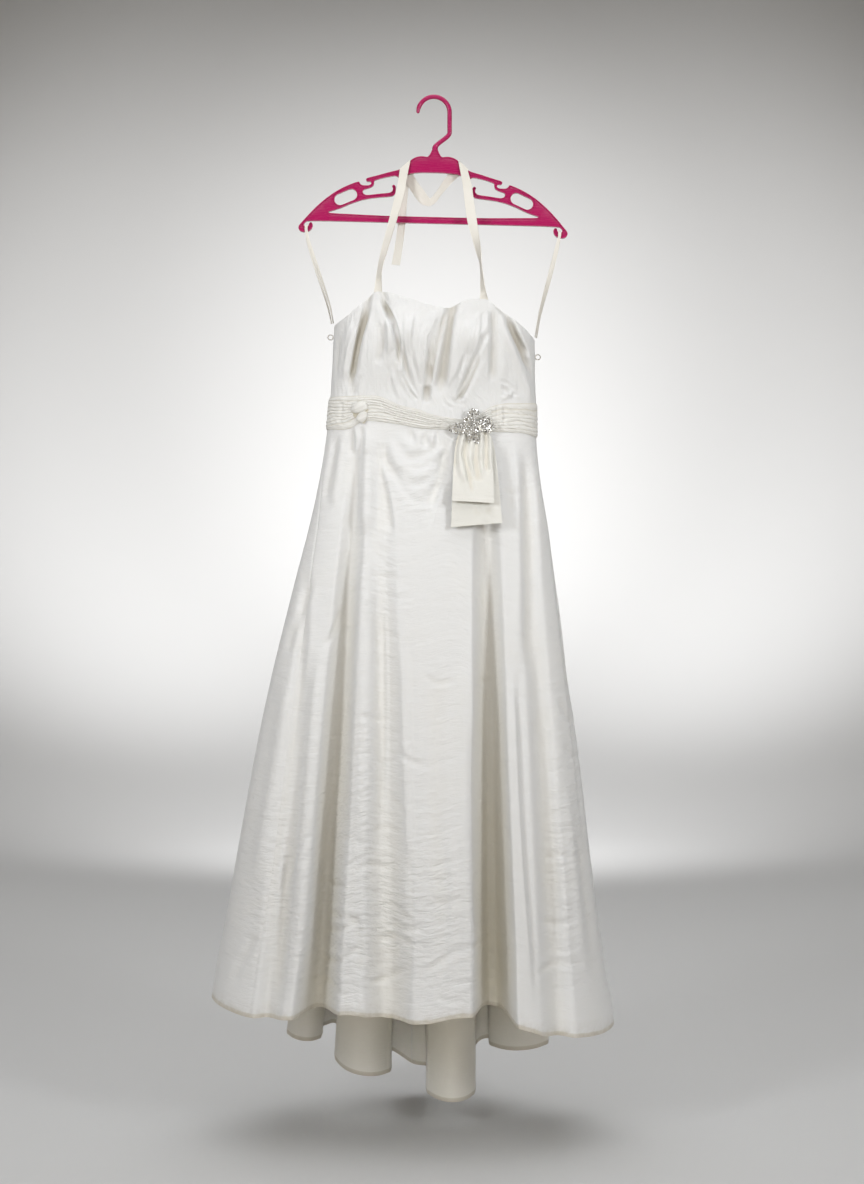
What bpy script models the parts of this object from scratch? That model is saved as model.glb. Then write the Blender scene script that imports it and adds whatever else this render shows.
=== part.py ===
"""Ivory halter-neck engagement dress with a ruched waistband and a train, on its plastic clothes hanger.

Metres, +Z up, +X to the viewer's right, the front of the dress towards -Y.
The origin is the inside top of the hanger's hook, where a rail or a peg carries it.
The tables below are in millimetres.
"""
from collections import namedtuple
from math import asin, atan2, cos, degrees, hypot, radians, sin

import bmesh
import bpy
from mathutils import Euler, Vector

MM = 0.001

# Cloth and seams
CLOTH = 1.6            # wall of the dress: shell cloth with its lining
RIBBON = 1.0           # wall of the halter straps and the hanger loops
SEAM_GAP = 0.4         # between two panels that are sewn edge to edge
SEAT_GAP = 0.3         # between a piece and what it lies on

# Heights where the dress's width is read for the upper and lower edges of its pieces
NECK_LEVEL = -374
BAND_TOP_LEVEL = -495
BAND_MIDDLE = -520
BAND_BOTTOM_LEVEL = -545
SKIRT_MIDDLE = -900
HEM_LEVEL = -1490

# Hanger
HANGER_TILT = 1.4      # degrees, the right end hangs lower
HANGER_THICKNESS = 8.0
FRAME_OFFSET = 4.0     # the arms' centre line, to the right of the hook
HOOK_RADIUS = 25.9     # centre line of the rod
HOOK_TURN = 184.0      # degrees of arc, from the free tip
HOOK_TIP_TAPER = 0.72
ROD_RADIUS = 3.7
HOOK_DROP = 33.0       # straight stretch below the arc
STEM_TOP = -81.5
STEM_END = -83.2

# Waistband: it lies over the level seam where the bodice meets the skirt
WAIST_SEAM = -531.5
BAND_LIFT = 1.0        # room under the band for the seam
PLEATS = 7
PLEAT_HEIGHT = 2.4

Level = namedtuple("Level", "z left right front back")
LEVELS = [
    Level(-320, 160, 161, 60, 44),
    Level(-360, 162.5, 163.5, 68, 46),
    Level(-400, 165, 165.5, 72, 47),
    Level(-440, 167, 166, 66, 46),
    Level(-490, 170, 167.5, 54, 45),
    Level(-560, 177, 168.5, 55, 47),
    Level(-630, 188.5, 175, 62, 54),
    Level(-700, 204, 187, 72, 64),
    Level(-785, 226, 198.5, 82, 80),
    Level(-870, 247.5, 209.5, 91, 98),
    Level(-950, 267, 220, 100, 116),
    Level(-1044, 287, 233, 110, 140),
    Level(-1140, 305, 244.5, 120, 165),
    Level(-1240, 323, 256, 131, 190),
    Level(-1340, 340, 268, 142, 215),
    Level(-1420, 356, 280, 150, 238),
    Level(-1510, 369, 295, 158, 260),
    Level(-1664, 376, 300, 164, 278),
]

# Long folds of the skirt: the place and half width of each mouth, its inward depth at the hem,
# how much of it is flat, how much wider than its mouth it becomes, as a tube does, and how round
# the tube's face is.
Fold = namedtuple("Fold", "name side x_top x_hem z_start half_top half_hem depth flat widen crown")
SKIRT_FOLDS = [
    Fold("left_edge", "front", -196, -264, -900, 16, 26, 20, 0.0, 0.0, 0.0),
    Fold("left_deep", "front", -120, -187, -560, 20, 40, 92, 0.0, 0.2, 0.0),
    Fold("middle_soft", "front", -87, -72, -600, 26, 44, 36, 0.1, 0.0, 0.0),
    Fold("right_deep", "front", 84, 96, -620, 24, 38, 122, 0.1, 0.3, 0.0),
    Fold("right_soft", "front", 146, 196, -560, 16, 30, 22, 0.0, 0.0, 0.0),
    Fold("train_left", "back", -140, -213, -760, 26, 25, 108, 0.5, 1.3, 0.22),
    Fold("train_middle", "back", -66, -114, -700, 36, 39, 176, 0.5, 1.35, 0.2),
    Fold("train_right", "back", 20, 28, -700, 34, 34, 210, 0.5, 1.3, 0.16),
    Fold("train_edge", "back", 110, 143, -800, 32, 46, 62, 0.5, 1.0, 0.25),
]
FOLD_GROWTH = 0.85
FULL_FOLD = -1480           # the folds are fully grown at the front hem
SKIRT_ROW_CROWDING = 1.35   # rows lie closer together towards the waist

# Dips of the bodice: pleat lines and the hollow between the cups, from the top edge to the waist.
Crease = namedtuple("Crease", "x_top z_top x_low z_low half depth")
BODICE_CREASES = [
    Crease(-84, -322, -30, -496, 9, 5),
    Crease(30, -348, 8, -496, 15, 10),
    Crease(-6, -410, -12, -508, 8, 5),
    Crease(80, -405, 32, -512, 9, 5),
    Crease(-106, -334, -134, -480, 10, 6),
    Crease(108, -350, 158, -430, 10, 6),
]
CREASE_FADE = 0.25     # share of its length over which a crease fades out at each end
Bulge = namedtuple("Bulge", "x z width height rise")
BODICE_CUPS = [
    Bulge(-52, -390, 42, 46, 9),
    Bulge(68, -396, 38, 44, 9),
]

Edge = namedtuple("Edge", "x z")
NECKLINE = [
    Edge(-163, -374), Edge(-142, -361), Edge(-112, -337), Edge(-97, -325), Edge(-82, -324.5),
    Edge(-60, -331), Edge(-38, -338), Edge(3, -350), Edge(22, -352), Edge(40, -345),
    Edge(55, -338.5), Edge(72, -337), Edge(88, -338), Edge(100, -347), Edge(119, -361),
    Edge(144, -378), Edge(164, -397),
]
BACK_NECKLINE = [Edge(-163, -374), Edge(-120, -396), Edge(-40, -416), Edge(40, -420),
                 Edge(120, -410), Edge(164, -397)]
FRONT_HEM = [
    Edge(-369, -1470), Edge(-348, -1478), Edge(-295, -1488), Edge(-240, -1487), Edge(-185, -1481),
    Edge(-133, -1473), Edge(-74, -1483), Edge(-14, -1485), Edge(45, -1475), Edge(92, -1482),
    Edge(155, -1503), Edge(181, -1513), Edge(232, -1519), Edge(270, -1520), Edge(295, -1515),
]
BACK_HEM = [
    Edge(-369, -1470), Edge(-330, -1500), Edge(-300, -1526), Edge(-240, -1558), Edge(-213, -1573),
    Edge(-190, -1572), Edge(-172, -1569), Edge(-150, -1592), Edge(-135, -1612), Edge(-115, -1625),
    Edge(-95, -1629), Edge(-76, -1624), Edge(-60, -1633), Edge(-35, -1650), Edge(-4, -1655),
    Edge(28, -1664), Edge(48, -1658), Edge(64, -1630), Edge(80, -1606), Edge(100, -1600),
    Edge(143, -1603), Edge(185, -1586), Edge(220, -1566), Edge(255, -1543), Edge(295, -1515),
]
Band = namedtuple("Band", "x top bottom")
FRONT_BAND = [
    Band(-171, -491, -543.5), Band(-140, -491, -545), Band(-115, -491, -533), Band(-88, -493, -534),
    Band(-55, -507, -539), Band(-22, -515, -545.5), Band(-6, -522, -546.5), Band(26, -528, -548),
    Band(43, -530, -549), Band(66, -526, -550), Band(90, -511, -550), Band(113, -504, -550),
    Band(145, -502, -551), Band(168, -500.5, -556),
]
BACK_BAND = [Band(-171, -491, -543.5), Band(0, -494, -549), Band(168, -500.5, -556)]

# The left side seam turns to the front below the waist; the right one stays at the side.
SeamTurn = namedtuple("SeamTurn", "z angle")
LEFT_SEAM = [SeamTurn(-540, -90), SeamTurn(-600, -81), SeamTurn(-700, -68), SeamTurn(-914, -57.5),
             SeamTurn(-1200, -53.5), SeamTurn(-1510, -53.5)]
# The centre back seam runs down the ridge between two folds of the train.
BACK_SEAM = [SeamTurn(-530, 180), SeamTurn(-620, 182.5), SeamTurn(-740, 186), SeamTurn(-1664, 186)]
LEFT_PRINCESS = -40.5
RIGHT_PRINCESS = 33.0
KNOT_ANGLE = -46.0
BROOCH_EDGE_ANGLE = 33.5

# Straps: both edges of the ribbon, from the bodice up over the hanger and down behind it.
Ribbon = namedtuple("Ribbon", "left_x left_y left_z right_x right_y right_z")
LEFT_STRAP = [
    Ribbon(-91.8, -46, -292, -83.8, -57, -292),
    Ribbon(-85.6, -37, -255.3, -74.3, -46, -255.3),
    Ribbon(-74.5, -24, -209.2, -61.5, -31, -209.2),
    Ribbon(-63.4, -15, -162.5, -49.2, -17, -162.5),
    Ribbon(-58.6, -9, -138.2, -45, -9, -136),
    Ribbon(-56.3, -5.6, -122, -39.4, -5.6, -107),
    Ribbon(-55.6, -4.6, -115.6, -38.6, -4.6, -101.3),
    Ribbon(-55.2, 0, -114.9, -38.4, 0, -100.5),
    Ribbon(-55.2, 4.6, -115.6, -38.2, 4.6, -101.3),
    Ribbon(-54.2, 5.6, -122, -36.4, 5.6, -107),
    Ribbon(-46, 7, -136, -32, 7, -126.5),
    Ribbon(-30, 9, -165, -11, 9, -156),
    Ribbon(-7.6, 10, -176.4, -6.9, 10, -163.2),
]
RIGHT_STRAP = [
    Ribbon(75.4, -53, -322, 83.2, -61, -322),
    Ribbon(75, -43, -281, 77.6, -56, -281),
    Ribbon(68.3, -37, -255.8, 76.4, -47, -255.8),
    Ribbon(55.4, -30, -209.7, 70.4, -33, -209.7),
    Ribbon(50.1, -18, -169.7, 65.2, -19, -169.7),
    Ribbon(47.4, -11, -143.5, 61.8, -11, -143.5),
    Ribbon(41.2, -5.6, -108, 56.8, -5.6, -123.6),
    Ribbon(39.9, -4.6, -101.4, 55.9, -4.6, -116.4),
    Ribbon(39.7, 0, -100.6, 55.6, 0, -115.7),
    Ribbon(39.4, 4.6, -101.4, 55.4, 4.6, -116.4),
    Ribbon(36, 5.6, -107, 53, 5.6, -122.5),
    Ribbon(21.7, 7, -124.3, 38.2, 7, -128),
    Ribbon(6.7, 9, -147, 8.8, 9, -161),
    Ribbon(-6.2, 10, -163.2, -5.8, 10, -176.4),
]
STRAP_TAIL = [
    Ribbon(-51, 8, -124, -40, 8, -124),
    Ribbon(-55, 9.6, -150, -42.5, 9.6, -150),
    Ribbon(-57.3, 10, -180.5, -45.2, 10, -180.5),
    Ribbon(-62, 10, -225, -49.2, 10, -225),
    Ribbon(-69.3, 10, -270, -55.9, 10, -271.5),
]
LEFT_LOOP = [
    Ribbon(-165.6, -3.2, -368.6, -164.4, 0.2, -368.6),
    Ribbon(-173, -5.6, -335, -170.6, -1.6, -335),
    Ribbon(-191.5, -7.2, -280, -187.7, -4.6, -280),
    Ribbon(-206.8, -6.8, -236, -202.2, -6.4, -236),
    Ribbon(-211.4, -5.4, -217, -206.6, -5.4, -217),
    Ribbon(-211.4, -5.2, -210.6, -206.6, -5.2, -210.2),
    Ribbon(-211.4, -3.2, -208.1, -206.6, -3.2, -207.5),
    Ribbon(-211.4, 3.2, -208.1, -206.6, 3.2, -207.5),
    Ribbon(-211.4, 5.2, -210.6, -206.6, 5.2, -210.2),
    Ribbon(-211.4, 5.4, -217, -206.6, 5.4, -217),
    Ribbon(-208.8, 6.6, -236, -204.2, 6.8, -236),
    Ribbon(-195.5, 5.4, -280, -191.9, 7.4, -280),
    Ribbon(-177, 2.2, -335, -174.6, 5.6, -335),
    Ribbon(-168.6, 1.6, -368.6, -167.6, 4.8, -368.6),
]
RIGHT_LOOP = [
    Ribbon(165.4, -3.6, -392, 166.6, -0.2, -392),
    Ribbon(172, -5.6, -352, 174.8, -1.8, -352),
    Ribbon(184.4, -7.4, -300, 188.8, -5.4, -300),
    Ribbon(195.6, -7.2, -256, 200.8, -6.8, -256),
    Ribbon(203.2, -5.4, -228, 208, -5.4, -228),
    Ribbon(203.9, -5.2, -220.4, 208.7, -5.2, -221),
    Ribbon(203.9, -3.2, -217.7, 208.7, -3.2, -218.5),
    Ribbon(203.9, 3.2, -217.7, 208.7, 3.2, -218.5),
    Ribbon(203.9, 5.2, -220.4, 208.7, 5.2, -221),
    Ribbon(203.8, 5.4, -228, 208.6, 5.4, -228),
    Ribbon(198.4, 6.6, -256, 203.2, 7.4, -256),
    Ribbon(188, 5.4, -300, 191.8, 7.8, -300),
    Ribbon(174.4, 2.4, -352, 177, 6, -352),
    Ribbon(168.2, 1.4, -392, 169.4, 4.8, -392),
]

# Sash tails: edges of each folded tail, from under the brooch down.
SHORT_TAIL = [
    Ribbon(38, -58.1, -561, 92, -50.4, -562),
    Ribbon(34, -64.5, -585, 94, -61, -586),
    Ribbon(30.5, -74, -625, 95.5, -71, -627),
    Ribbon(29, -83, -664, 96, -80.5, -667.5),
]
LONG_TAIL = [
    Ribbon(40, -56, -561, 94, -48, -562),
    Ribbon(34.5, -62, -585, 99, -56.6, -586),
    Ribbon(30, -70.4, -640, 105, -65, -641),
    Ribbon(27.6, -79, -706, 109.5, -74.5, -699),
]

# Hanger outline, right half, from the middle: outer edge first, then the edge of the opening.
Corner = namedtuple("Corner", "out up")
HANGER_OUTSIDE = [
    Corner(4.7, -83.8), Corner(7, -90), Corner(11.4, -96.3), Corner(16, -95.6), Corner(22, -95),
    Corner(30.5, -96.6), Corner(36.8, -100.2), Corner(46.5, -109), Corner(56.5, -118),
    Corner(76, -123), Corner(94, -128.6), Corner(109, -132.6), Corner(111.8, -134.4),
    Corner(111.6, -137.4), Corner(108.6, -138.8), Corner(104.4, -138.2), Corner(102.6, -141),
    Corner(104.4, -144), Corner(108.4, -145.2), Corner(117.6, -145.2), Corner(121.6, -142.6),
    Corner(123.4, -138.4), Corner(143.7, -146.6), Corner(160, -155.6), Corner(174, -165.6),
    Corner(190, -179.6), Corner(204, -194.4), Corner(215.4, -207.8), Corner(220.4, -213.6),
    Corner(221, -218.4), Corner(218, -222.6), Corner(212.4, -224.2), Corner(203.6, -222.6),
    Corner(198.4, -217.6), Corner(197.2, -211.6), Corner(199.2, -208.2), Corner(202, -207.8),
    Corner(203.4, -210), Corner(204, -213.2), Corner(207.2, -215), Corner(210, -215),
    Corner(212.6, -212.6), Corner(211, -208.8), Corner(206, -204.8), Corner(76, -204.8),
]
HANGER_OPENING = [
    Corner(10.8, -121.4), Corner(26, -121.9), Corner(42, -124), Corner(57.6, -132.4),
    Corner(59.6, -129.4), Corner(64.6, -127.6), Corner(82.4, -131.3), Corner(98.8, -136.4),
    Corner(98.4, -140.6), Corner(100, -145.8), Corner(106, -149.2), Corner(114.9, -151.7),
    Corner(117.3, -154.2), Corner(115.9, -158.8), Corner(110.6, -161.4), Corner(88.8, -158.3),
    Corner(71.6, -156.4), Corner(67.6, -152.4), Corner(67.6, -148), Corner(69.2, -145),
    Corner(66, -142.6), Corner(62.4, -146), Corner(63, -156.6), Corner(67, -161.8),
    Corner(98, -164.8), Corner(117, -168.6), Corner(135, -175), Corner(155, -184.4),
    Corner(179.4, -191.8), Corner(120, -193.4), Corner(75, -194.5),
]
GRIP_HOLE = Corner(144.5, -165)
GRIP_HALF_LENGTH = 19.5
GRIP_HALF_WIDTH = 9.6
GRIP_SLOPE = 24.0
GRIP_STEPS = 6

# Brooch and knot, on the waistband
BROOCH_CENTRE = (66.0, -542.0)
BROOCH_HALF = (38.0, 24.0)
BROOCH_LIFT = 6.6
BROOCH_RISE = 9.0
BROOCH_LOBES = 5
BROOCH_EDGE_WAVE = 0.10    # how far the lobes stand out of the oval, and how far up
BROOCH_FACE_WAVE = 0.12
KNOT_CENTRE = (-121.0, -516.0)
KNOT_HALF = (12.0, 19.0)
KNOT_LIFT = 5.2
KNOT_RISE = 8.0
KNOT_GROOVE = 0.55         # depth of the slit across it, as a share of its rise
PAD_FOOT = 1.2             # thickness at the rim of either lump
PAD_LOWEST_SEAT = -560
GROOVE_WIDTH = 0.25

RING_RADIUS = 4.2
RING_WIRE = 0.7

IVORY = (0.80, 0.74, 0.66)
RIBBON_IVORY = (0.84, 0.81, 0.76)
MAGENTA = (0.46, 0.016, 0.12)
SILVER = (0.72, 0.71, 0.70)


def clear_scene():
    for item in list(bpy.data.objects):
        bpy.data.objects.remove(item)


def finish(name, colour, roughness, metallic=0.0):
    material = bpy.data.materials.new(name)
    material.use_nodes = True
    shader = material.node_tree.nodes["Principled BSDF"]
    shader.inputs["Base Color"].default_value = (*colour, 1.0)
    shader.inputs["Roughness"].default_value = roughness
    shader.inputs["Metallic"].default_value = metallic
    return material


def lerp(a, b, t):
    return a + (b - a) * t


def ease(t):
    t = min(max(t, 0.0), 1.0)
    return t * t * (3 - 2 * t)


def smooth(rows, key, column, value):
    """Reads a column of a table at a value of its key column, on a smooth curve through the rows."""
    keys = [getattr(row, key) for row in rows]
    points = [getattr(row, column) for row in rows]
    if keys[0] > keys[-1]:
        keys, points = keys[::-1], points[::-1]
    if value <= keys[0]:
        return points[0]
    if value >= keys[-1]:
        return points[-1]
    i = max(n for n, k in enumerate(keys) if k <= value)
    i = min(i, len(keys) - 2)
    slope = []
    for j in (i, i + 1):
        before, after = max(j - 1, 0), min(j + 1, len(keys) - 1)
        slope.append((points[after] - points[before]) / (keys[after] - keys[before]))
    span = keys[i + 1] - keys[i]
    t = (value - keys[i]) / span
    return ((2 * t**3 - 3 * t**2 + 1) * points[i] + (t**3 - 2 * t**2 + t) * span * slope[0]
            + (3 * t**2 - 2 * t**3) * points[i + 1] + (t**3 - t**2) * span * slope[1])


def half_width(angle, z):
    return smooth(LEVELS, "z", "left" if sin(radians(angle)) < 0 else "right", z)


def skirt_fold(x, z, side):
    """How far the long folds carry the cloth inwards, and how far sideways, at a place of the skirt."""
    inwards = sideways = 0.0
    for fold in SKIRT_FOLDS:
        if fold.side != side or z > fold.z_start:
            continue
        t = min((fold.z_start - z) / (fold.z_start - FULL_FOLD), 1.15)
        off = x - lerp(fold.x_top, fold.x_hem, t)
        reach = abs(off) / lerp(fold.half_top, fold.half_hem, t)
        share = min(t, 1.0) ** FOLD_GROWTH * (1 - ease((reach - fold.flat) / (1 - fold.flat)))
        share *= 1 - fold.crown * min(reach / max(fold.flat, 0.1), 1.0) ** 2
        inwards += fold.depth * share
        sideways += fold.widen * off * share
    return inwards, sideways


def bodice_dent(x, z):
    """Pleat lines and cups of the bodice front, inwards positive."""
    total = 0.0
    for crease in BODICE_CREASES:
        t = (z - crease.z_top) / (crease.z_low - crease.z_top)
        if -CREASE_FADE < t < 1:
            reach = abs(x - lerp(crease.x_top, crease.x_low, t)) / crease.half
            ends = ease((t + CREASE_FADE) / CREASE_FADE) * ease((1 - t) / CREASE_FADE)
            total += crease.depth * (1 - ease(reach)) * ends
    for cup in BODICE_CUPS:
        total -= cup.rise * (1 - ease(hypot((x - cup.x) / cup.width, (z - cup.z) / cup.height)))
    return total


def body(angle, z):
    """The dress's outer surface: 0 degrees is the middle of the front, 90 the right side, 180 the back."""
    turn = radians(angle)
    front = cos(turn) > 0
    x = half_width(angle, z) * sin(turn)
    depth = smooth(LEVELS, "z", "front" if front else "back", z)
    dent, shift = skirt_fold(x, z, "front" if front else "back")
    if front:
        dent += bodice_dent(x, z)
    fade = min(1.0, 3 * abs(cos(turn)))
    y = depth * abs(cos(turn)) - dent * fade
    return Vector((x + shift * fade, -y if front else y, z))


def normal(surface, s, t, step=0.002):
    across = surface(s + step, t) - surface(s - step, t)
    along = surface(s, t + step) - surface(s, t - step)
    return across.cross(along).normalized()


def edge_height(front_rows, back_rows, column, angle, width_at):
    x = half_width(angle, width_at) * sin(radians(angle))
    rows = front_rows if cos(radians(angle)) > 0 else back_rows
    return smooth(rows, "x", column, x)


def band_top(angle):
    return edge_height(FRONT_BAND, BACK_BAND, "top", angle, BAND_TOP_LEVEL)


def band_bottom(angle):
    return edge_height(FRONT_BAND, BACK_BAND, "bottom", angle, BAND_BOTTOM_LEVEL)


def neckline(angle):
    return edge_height(NECKLINE, BACK_NECKLINE, "z", angle, NECK_LEVEL)


def hem(angle):
    return edge_height(FRONT_HEM, BACK_HEM, "z", angle, HEM_LEVEL)


def trimmed(start, end, z):
    """Moves a panel's two side edges in by half the seam gap, measured on the surface."""
    step = 0.05
    inset = []
    for angle in (start, end):
        speed = (body(angle + step, z) - body(angle - step, z)).length / (2 * step)
        inset.append(SEAM_GAP / 2 / speed)
    return start + inset[0], end - inset[1]


def new_object(name, mesh_or_curve, material, collection):
    item = bpy.data.objects.new(name, mesh_or_curve)
    mesh_or_curve.materials.append(material)
    collection.objects.link(item)
    return item


def wall(name, columns, rows, outside, inside, material, collection):
    """A closed wall of cloth: a grid laid on the outer face, and its twin on the inner face."""
    bm = bmesh.new()
    bmesh.ops.create_grid(bm, x_segments=columns, y_segments=rows, size=0.5)
    place = {v: (v.co.x + 0.5, v.co.y + 0.5) for v in bm.verts}
    rim = [edge for edge in bm.edges if edge.is_boundary]
    rim = [(loop.vert, loop.link_loop_next.vert) for edge in rim for loop in edge.link_loops]
    copy = bmesh.ops.duplicate(bm, geom=bm.verts[:] + bm.edges[:] + bm.faces[:])
    twin = {v: copy["vert_map"][v] for v in place}
    bmesh.ops.reverse_faces(bm, faces=[f for f in copy["geom"] if isinstance(f, bmesh.types.BMFace)])
    for first, second in rim:
        bm.faces.new((second, first, twin[first], twin[second]))
    for vertex, (s, t) in place.items():
        vertex.co = outside(s, t) * MM
        twin[vertex].co = inside(s, t) * MM
    mesh = bpy.data.meshes.new(name)
    bm.to_mesh(mesh)
    bm.free()
    mesh.shade_smooth()
    return new_object(name, mesh, material, collection)


def even_columns(surface, columns, t, evenness=0.75):
    """Places a panel's columns evenly along the real length of one of its rows, folds included."""
    fine = columns * 12
    points = [surface(i / fine, t) for i in range(fine + 1)]
    run = [0.0]
    for a, b in zip(points, points[1:]):
        run.append(run[-1] + (b - a).length)
    places = []
    for column in range(columns + 1):
        wanted = run[-1] * column / columns
        i = max(n for n in range(fine) if run[n] <= wanted + 1e-9)
        along = (i + (wanted - run[i]) / (run[i + 1] - run[i])) / fine
        places.append(lerp(column / columns, along, evenness))
    return places


def panel(name, columns, rows, start, end, low, high, material, collection, crowd=None, rise=1.0):
    """A panel of the dress between two seam angles and two edge heights; s runs across, t runs up."""
    def surface(s, t):
        t = 1 - (max(1 - t, 0.0)) ** rise
        middle = lerp(start(SKIRT_MIDDLE), end(SKIRT_MIDDLE), s)
        z = lerp(low(middle), high(middle), t)
        first, last = trimmed(start(z), end(z), z)
        angle = lerp(first, last, s)
        z = lerp(low(angle), high(angle), t)
        return body(angle, z)

    places = even_columns(surface, columns, crowd) if crowd is not None else None

    def where(s):
        if places is None:
            return s
        column = s * columns
        i = min(int(column + 1e-6), columns - 1)
        return lerp(places[i], places[i + 1], column - i)

    def outside(s, t):
        return surface(where(s), t)

    def inside(s, t):
        return surface(where(s), t) - normal(surface, where(s), t) * CLOTH

    return wall(name, columns, rows, outside, inside, material, collection)


def fixed(value):
    """A seam that stays at one angle, or an edge that stays at one height."""
    return lambda anywhere: value


def left_seam(z):
    return smooth(LEFT_SEAM, "z", "angle", z)


def left_seam_behind(z):
    return 360 + left_seam(z)


def back_seam(z):
    return smooth(BACK_SEAM, "z", "angle", z)


def build_bodice(material, collection):
    low = fixed(WAIST_SEAM + SEAT_GAP)
    for name, columns, rows, start, end in (
        ("bodice_side_left", 6, 12, -90, LEFT_PRINCESS),
        ("bodice_front", 22, 12, LEFT_PRINCESS, RIGHT_PRINCESS),
        ("bodice_side_right", 7, 12, RIGHT_PRINCESS, 90),
        ("bodice_back_right", 10, 6, 90, 180),
        ("bodice_back_left", 10, 6, 180, 270),
    ):
        panel(name, columns, rows, fixed(start), fixed(end), low, neckline, material, collection)


def build_waistband(material, collection):
    """Ruched cloth: pleats run along the band, raised in its outer points over a plain inside."""
    for name, columns, start, end in (
        ("waistband_left", 5, -90, KNOT_ANGLE),
        ("waistband_front", 14, KNOT_ANGLE, BROOCH_EDGE_ANGLE),
        ("waistband_right", 6, BROOCH_EDGE_ANGLE, 90),
        ("waistband_back", 16, 90, 270),
    ):
        def surface(s, t, start=start, end=end):
            first, last = trimmed(start, end, BAND_MIDDLE)
            angle = lerp(first, last, s)
            return body(angle, lerp(band_bottom(angle), band_top(angle), t))

        def outside(s, t, surface=surface):
            ridge = 1 - abs(2 * ((t * PLEATS) % 1.0) - 1)
            return surface(s, t) + normal(surface, s, t) * (BAND_LIFT + CLOTH + PLEAT_HEIGHT * ridge)

        def inside(s, t, surface=surface):
            return surface(s, t) + normal(surface, s, t) * BAND_LIFT

        wall(name, columns, 2 * PLEATS, outside, inside, material, collection)


def build_skirt(material, collection):
    high = fixed(WAIST_SEAM)
    for name, columns, start, end in (
        ("skirt_front", 46, left_seam, fixed(90)),
        ("skirt_back_right", 32, fixed(90), back_seam),
        ("skirt_back_left", 36, back_seam, left_seam_behind),
    ):
        panel(name, columns, 13, start, end, hem, high, material, collection,
              crowd=0.12, rise=SKIRT_ROW_CROWDING)


def ribbon_point(rows, s, t):
    row = t * (len(rows) - 1)
    keyed = [namedtuple("Keyed", ("key",) + Ribbon._fields)(n, *r) for n, r in enumerate(rows)]
    read = [smooth(keyed, "key", column, row) for column in Ribbon._fields]
    return Vector(read[:3]).lerp(Vector(read[3:]), s)


def ribbon(name, rows, thickness, columns, steps, material, collection):
    def centre(s, t):
        return ribbon_point(rows, s, t)

    def outside(s, t):
        return centre(s, t) + normal(centre, s, t) * thickness / 2

    def inside(s, t):
        return centre(s, t) - normal(centre, s, t) * thickness / 2

    return wall(name, columns, steps, outside, inside, material, collection)


def strap_foot(x_left, x_right):
    """The strap's sewn end, just above the bodice's top edge and in line with its wall."""
    ends = []
    for x in (x_left, x_right):
        angle = degrees(asin(x / half_width(x, NECK_LEVEL)))
        top = body(angle, neckline(angle))
        ends += [x, top.y + CLOTH / 2, top.z + 2 * SEAT_GAP]
    return Ribbon(*ends)


def build_straps(material, collection):
    ribbon("halter_strap_left", [strap_foot(-97, -84)] + LEFT_STRAP, RIBBON, 2, 30, material, collection)
    ribbon("halter_strap_right", [strap_foot(74, 88)] + RIGHT_STRAP, RIBBON, 2, 32, material, collection)
    ribbon("halter_tail", STRAP_TAIL, RIBBON, 2, 8, material, collection)
    ribbon("hanger_loop_left", LEFT_LOOP, RIBBON, 1, 30, material, collection)
    ribbon("hanger_loop_right", RIGHT_LOOP, RIBBON, 1, 30, material, collection)


def build_sash_tails(material, collection):
    for name, rows in (("sash_tail_short", SHORT_TAIL), ("sash_tail_long", LONG_TAIL)):
        ribbon(name, rows, CLOTH, 6, 8, material, collection)


def build_rings(material, collection):
    for name, x, z in (("side_ring_left", -169.6, -391.5), ("side_ring_right", 170.8, -424)):
        bpy.ops.mesh.primitive_torus_add(
            major_segments=14, minor_segments=6, major_radius=RING_RADIUS * MM,
            minor_radius=RING_WIRE * MM, location=(x * MM, 0, z * MM), rotation=(radians(90), 0, 0))
        ring = bpy.context.object
        ring.name = name
        ring.data.materials.append(material)
        for holder in list(ring.users_collection):
            holder.objects.unlink(ring)
        collection.objects.link(ring)


def pad_on_band(name, centre, half, lift, rise, lobes, groove, material, collection):
    """A low lump seated on the waistband: its back follows the band, its front is domed."""
    bm = bmesh.new()
    bmesh.ops.create_uvsphere(bm, u_segments=20, v_segments=8, radius=1.0)
    for vertex in bm.verts:
        around = atan2(vertex.co.y, vertex.co.x)
        reach = hypot(vertex.co.x, vertex.co.y)
        edge = 1 + BROOCH_EDGE_WAVE * cos(lobes * around) if lobes else 1.0
        dx = half[0] * vertex.co.x * edge
        dz = half[1] * vertex.co.y * edge
        x, z = centre[0] + dx, centre[1] + dz
        seat = body(degrees(asin(x / half_width(x, BAND_MIDDLE))), max(z, PAD_LOWEST_SEAT))
        front = max(vertex.co.z, 0.0)
        slit = 1 - ease(abs(dz + dx / 2) / (GROOVE_WIDTH * half[1]))
        domed = rise * front * (1 - groove * slit)
        if lobes:
            domed *= 1 + BROOCH_FACE_WAVE * cos(lobes * around) * reach
        foot = PAD_FOOT * (vertex.co.z + 1) / 2
        vertex.co = Vector((x, seat.y - lift - foot - domed, z)) * MM
    bmesh.ops.recalc_face_normals(bm, faces=bm.faces)
    mesh = bpy.data.meshes.new(name)
    bm.to_mesh(mesh)
    bm.free()
    mesh.shade_smooth()
    return new_object(name, mesh, material, collection)


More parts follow.
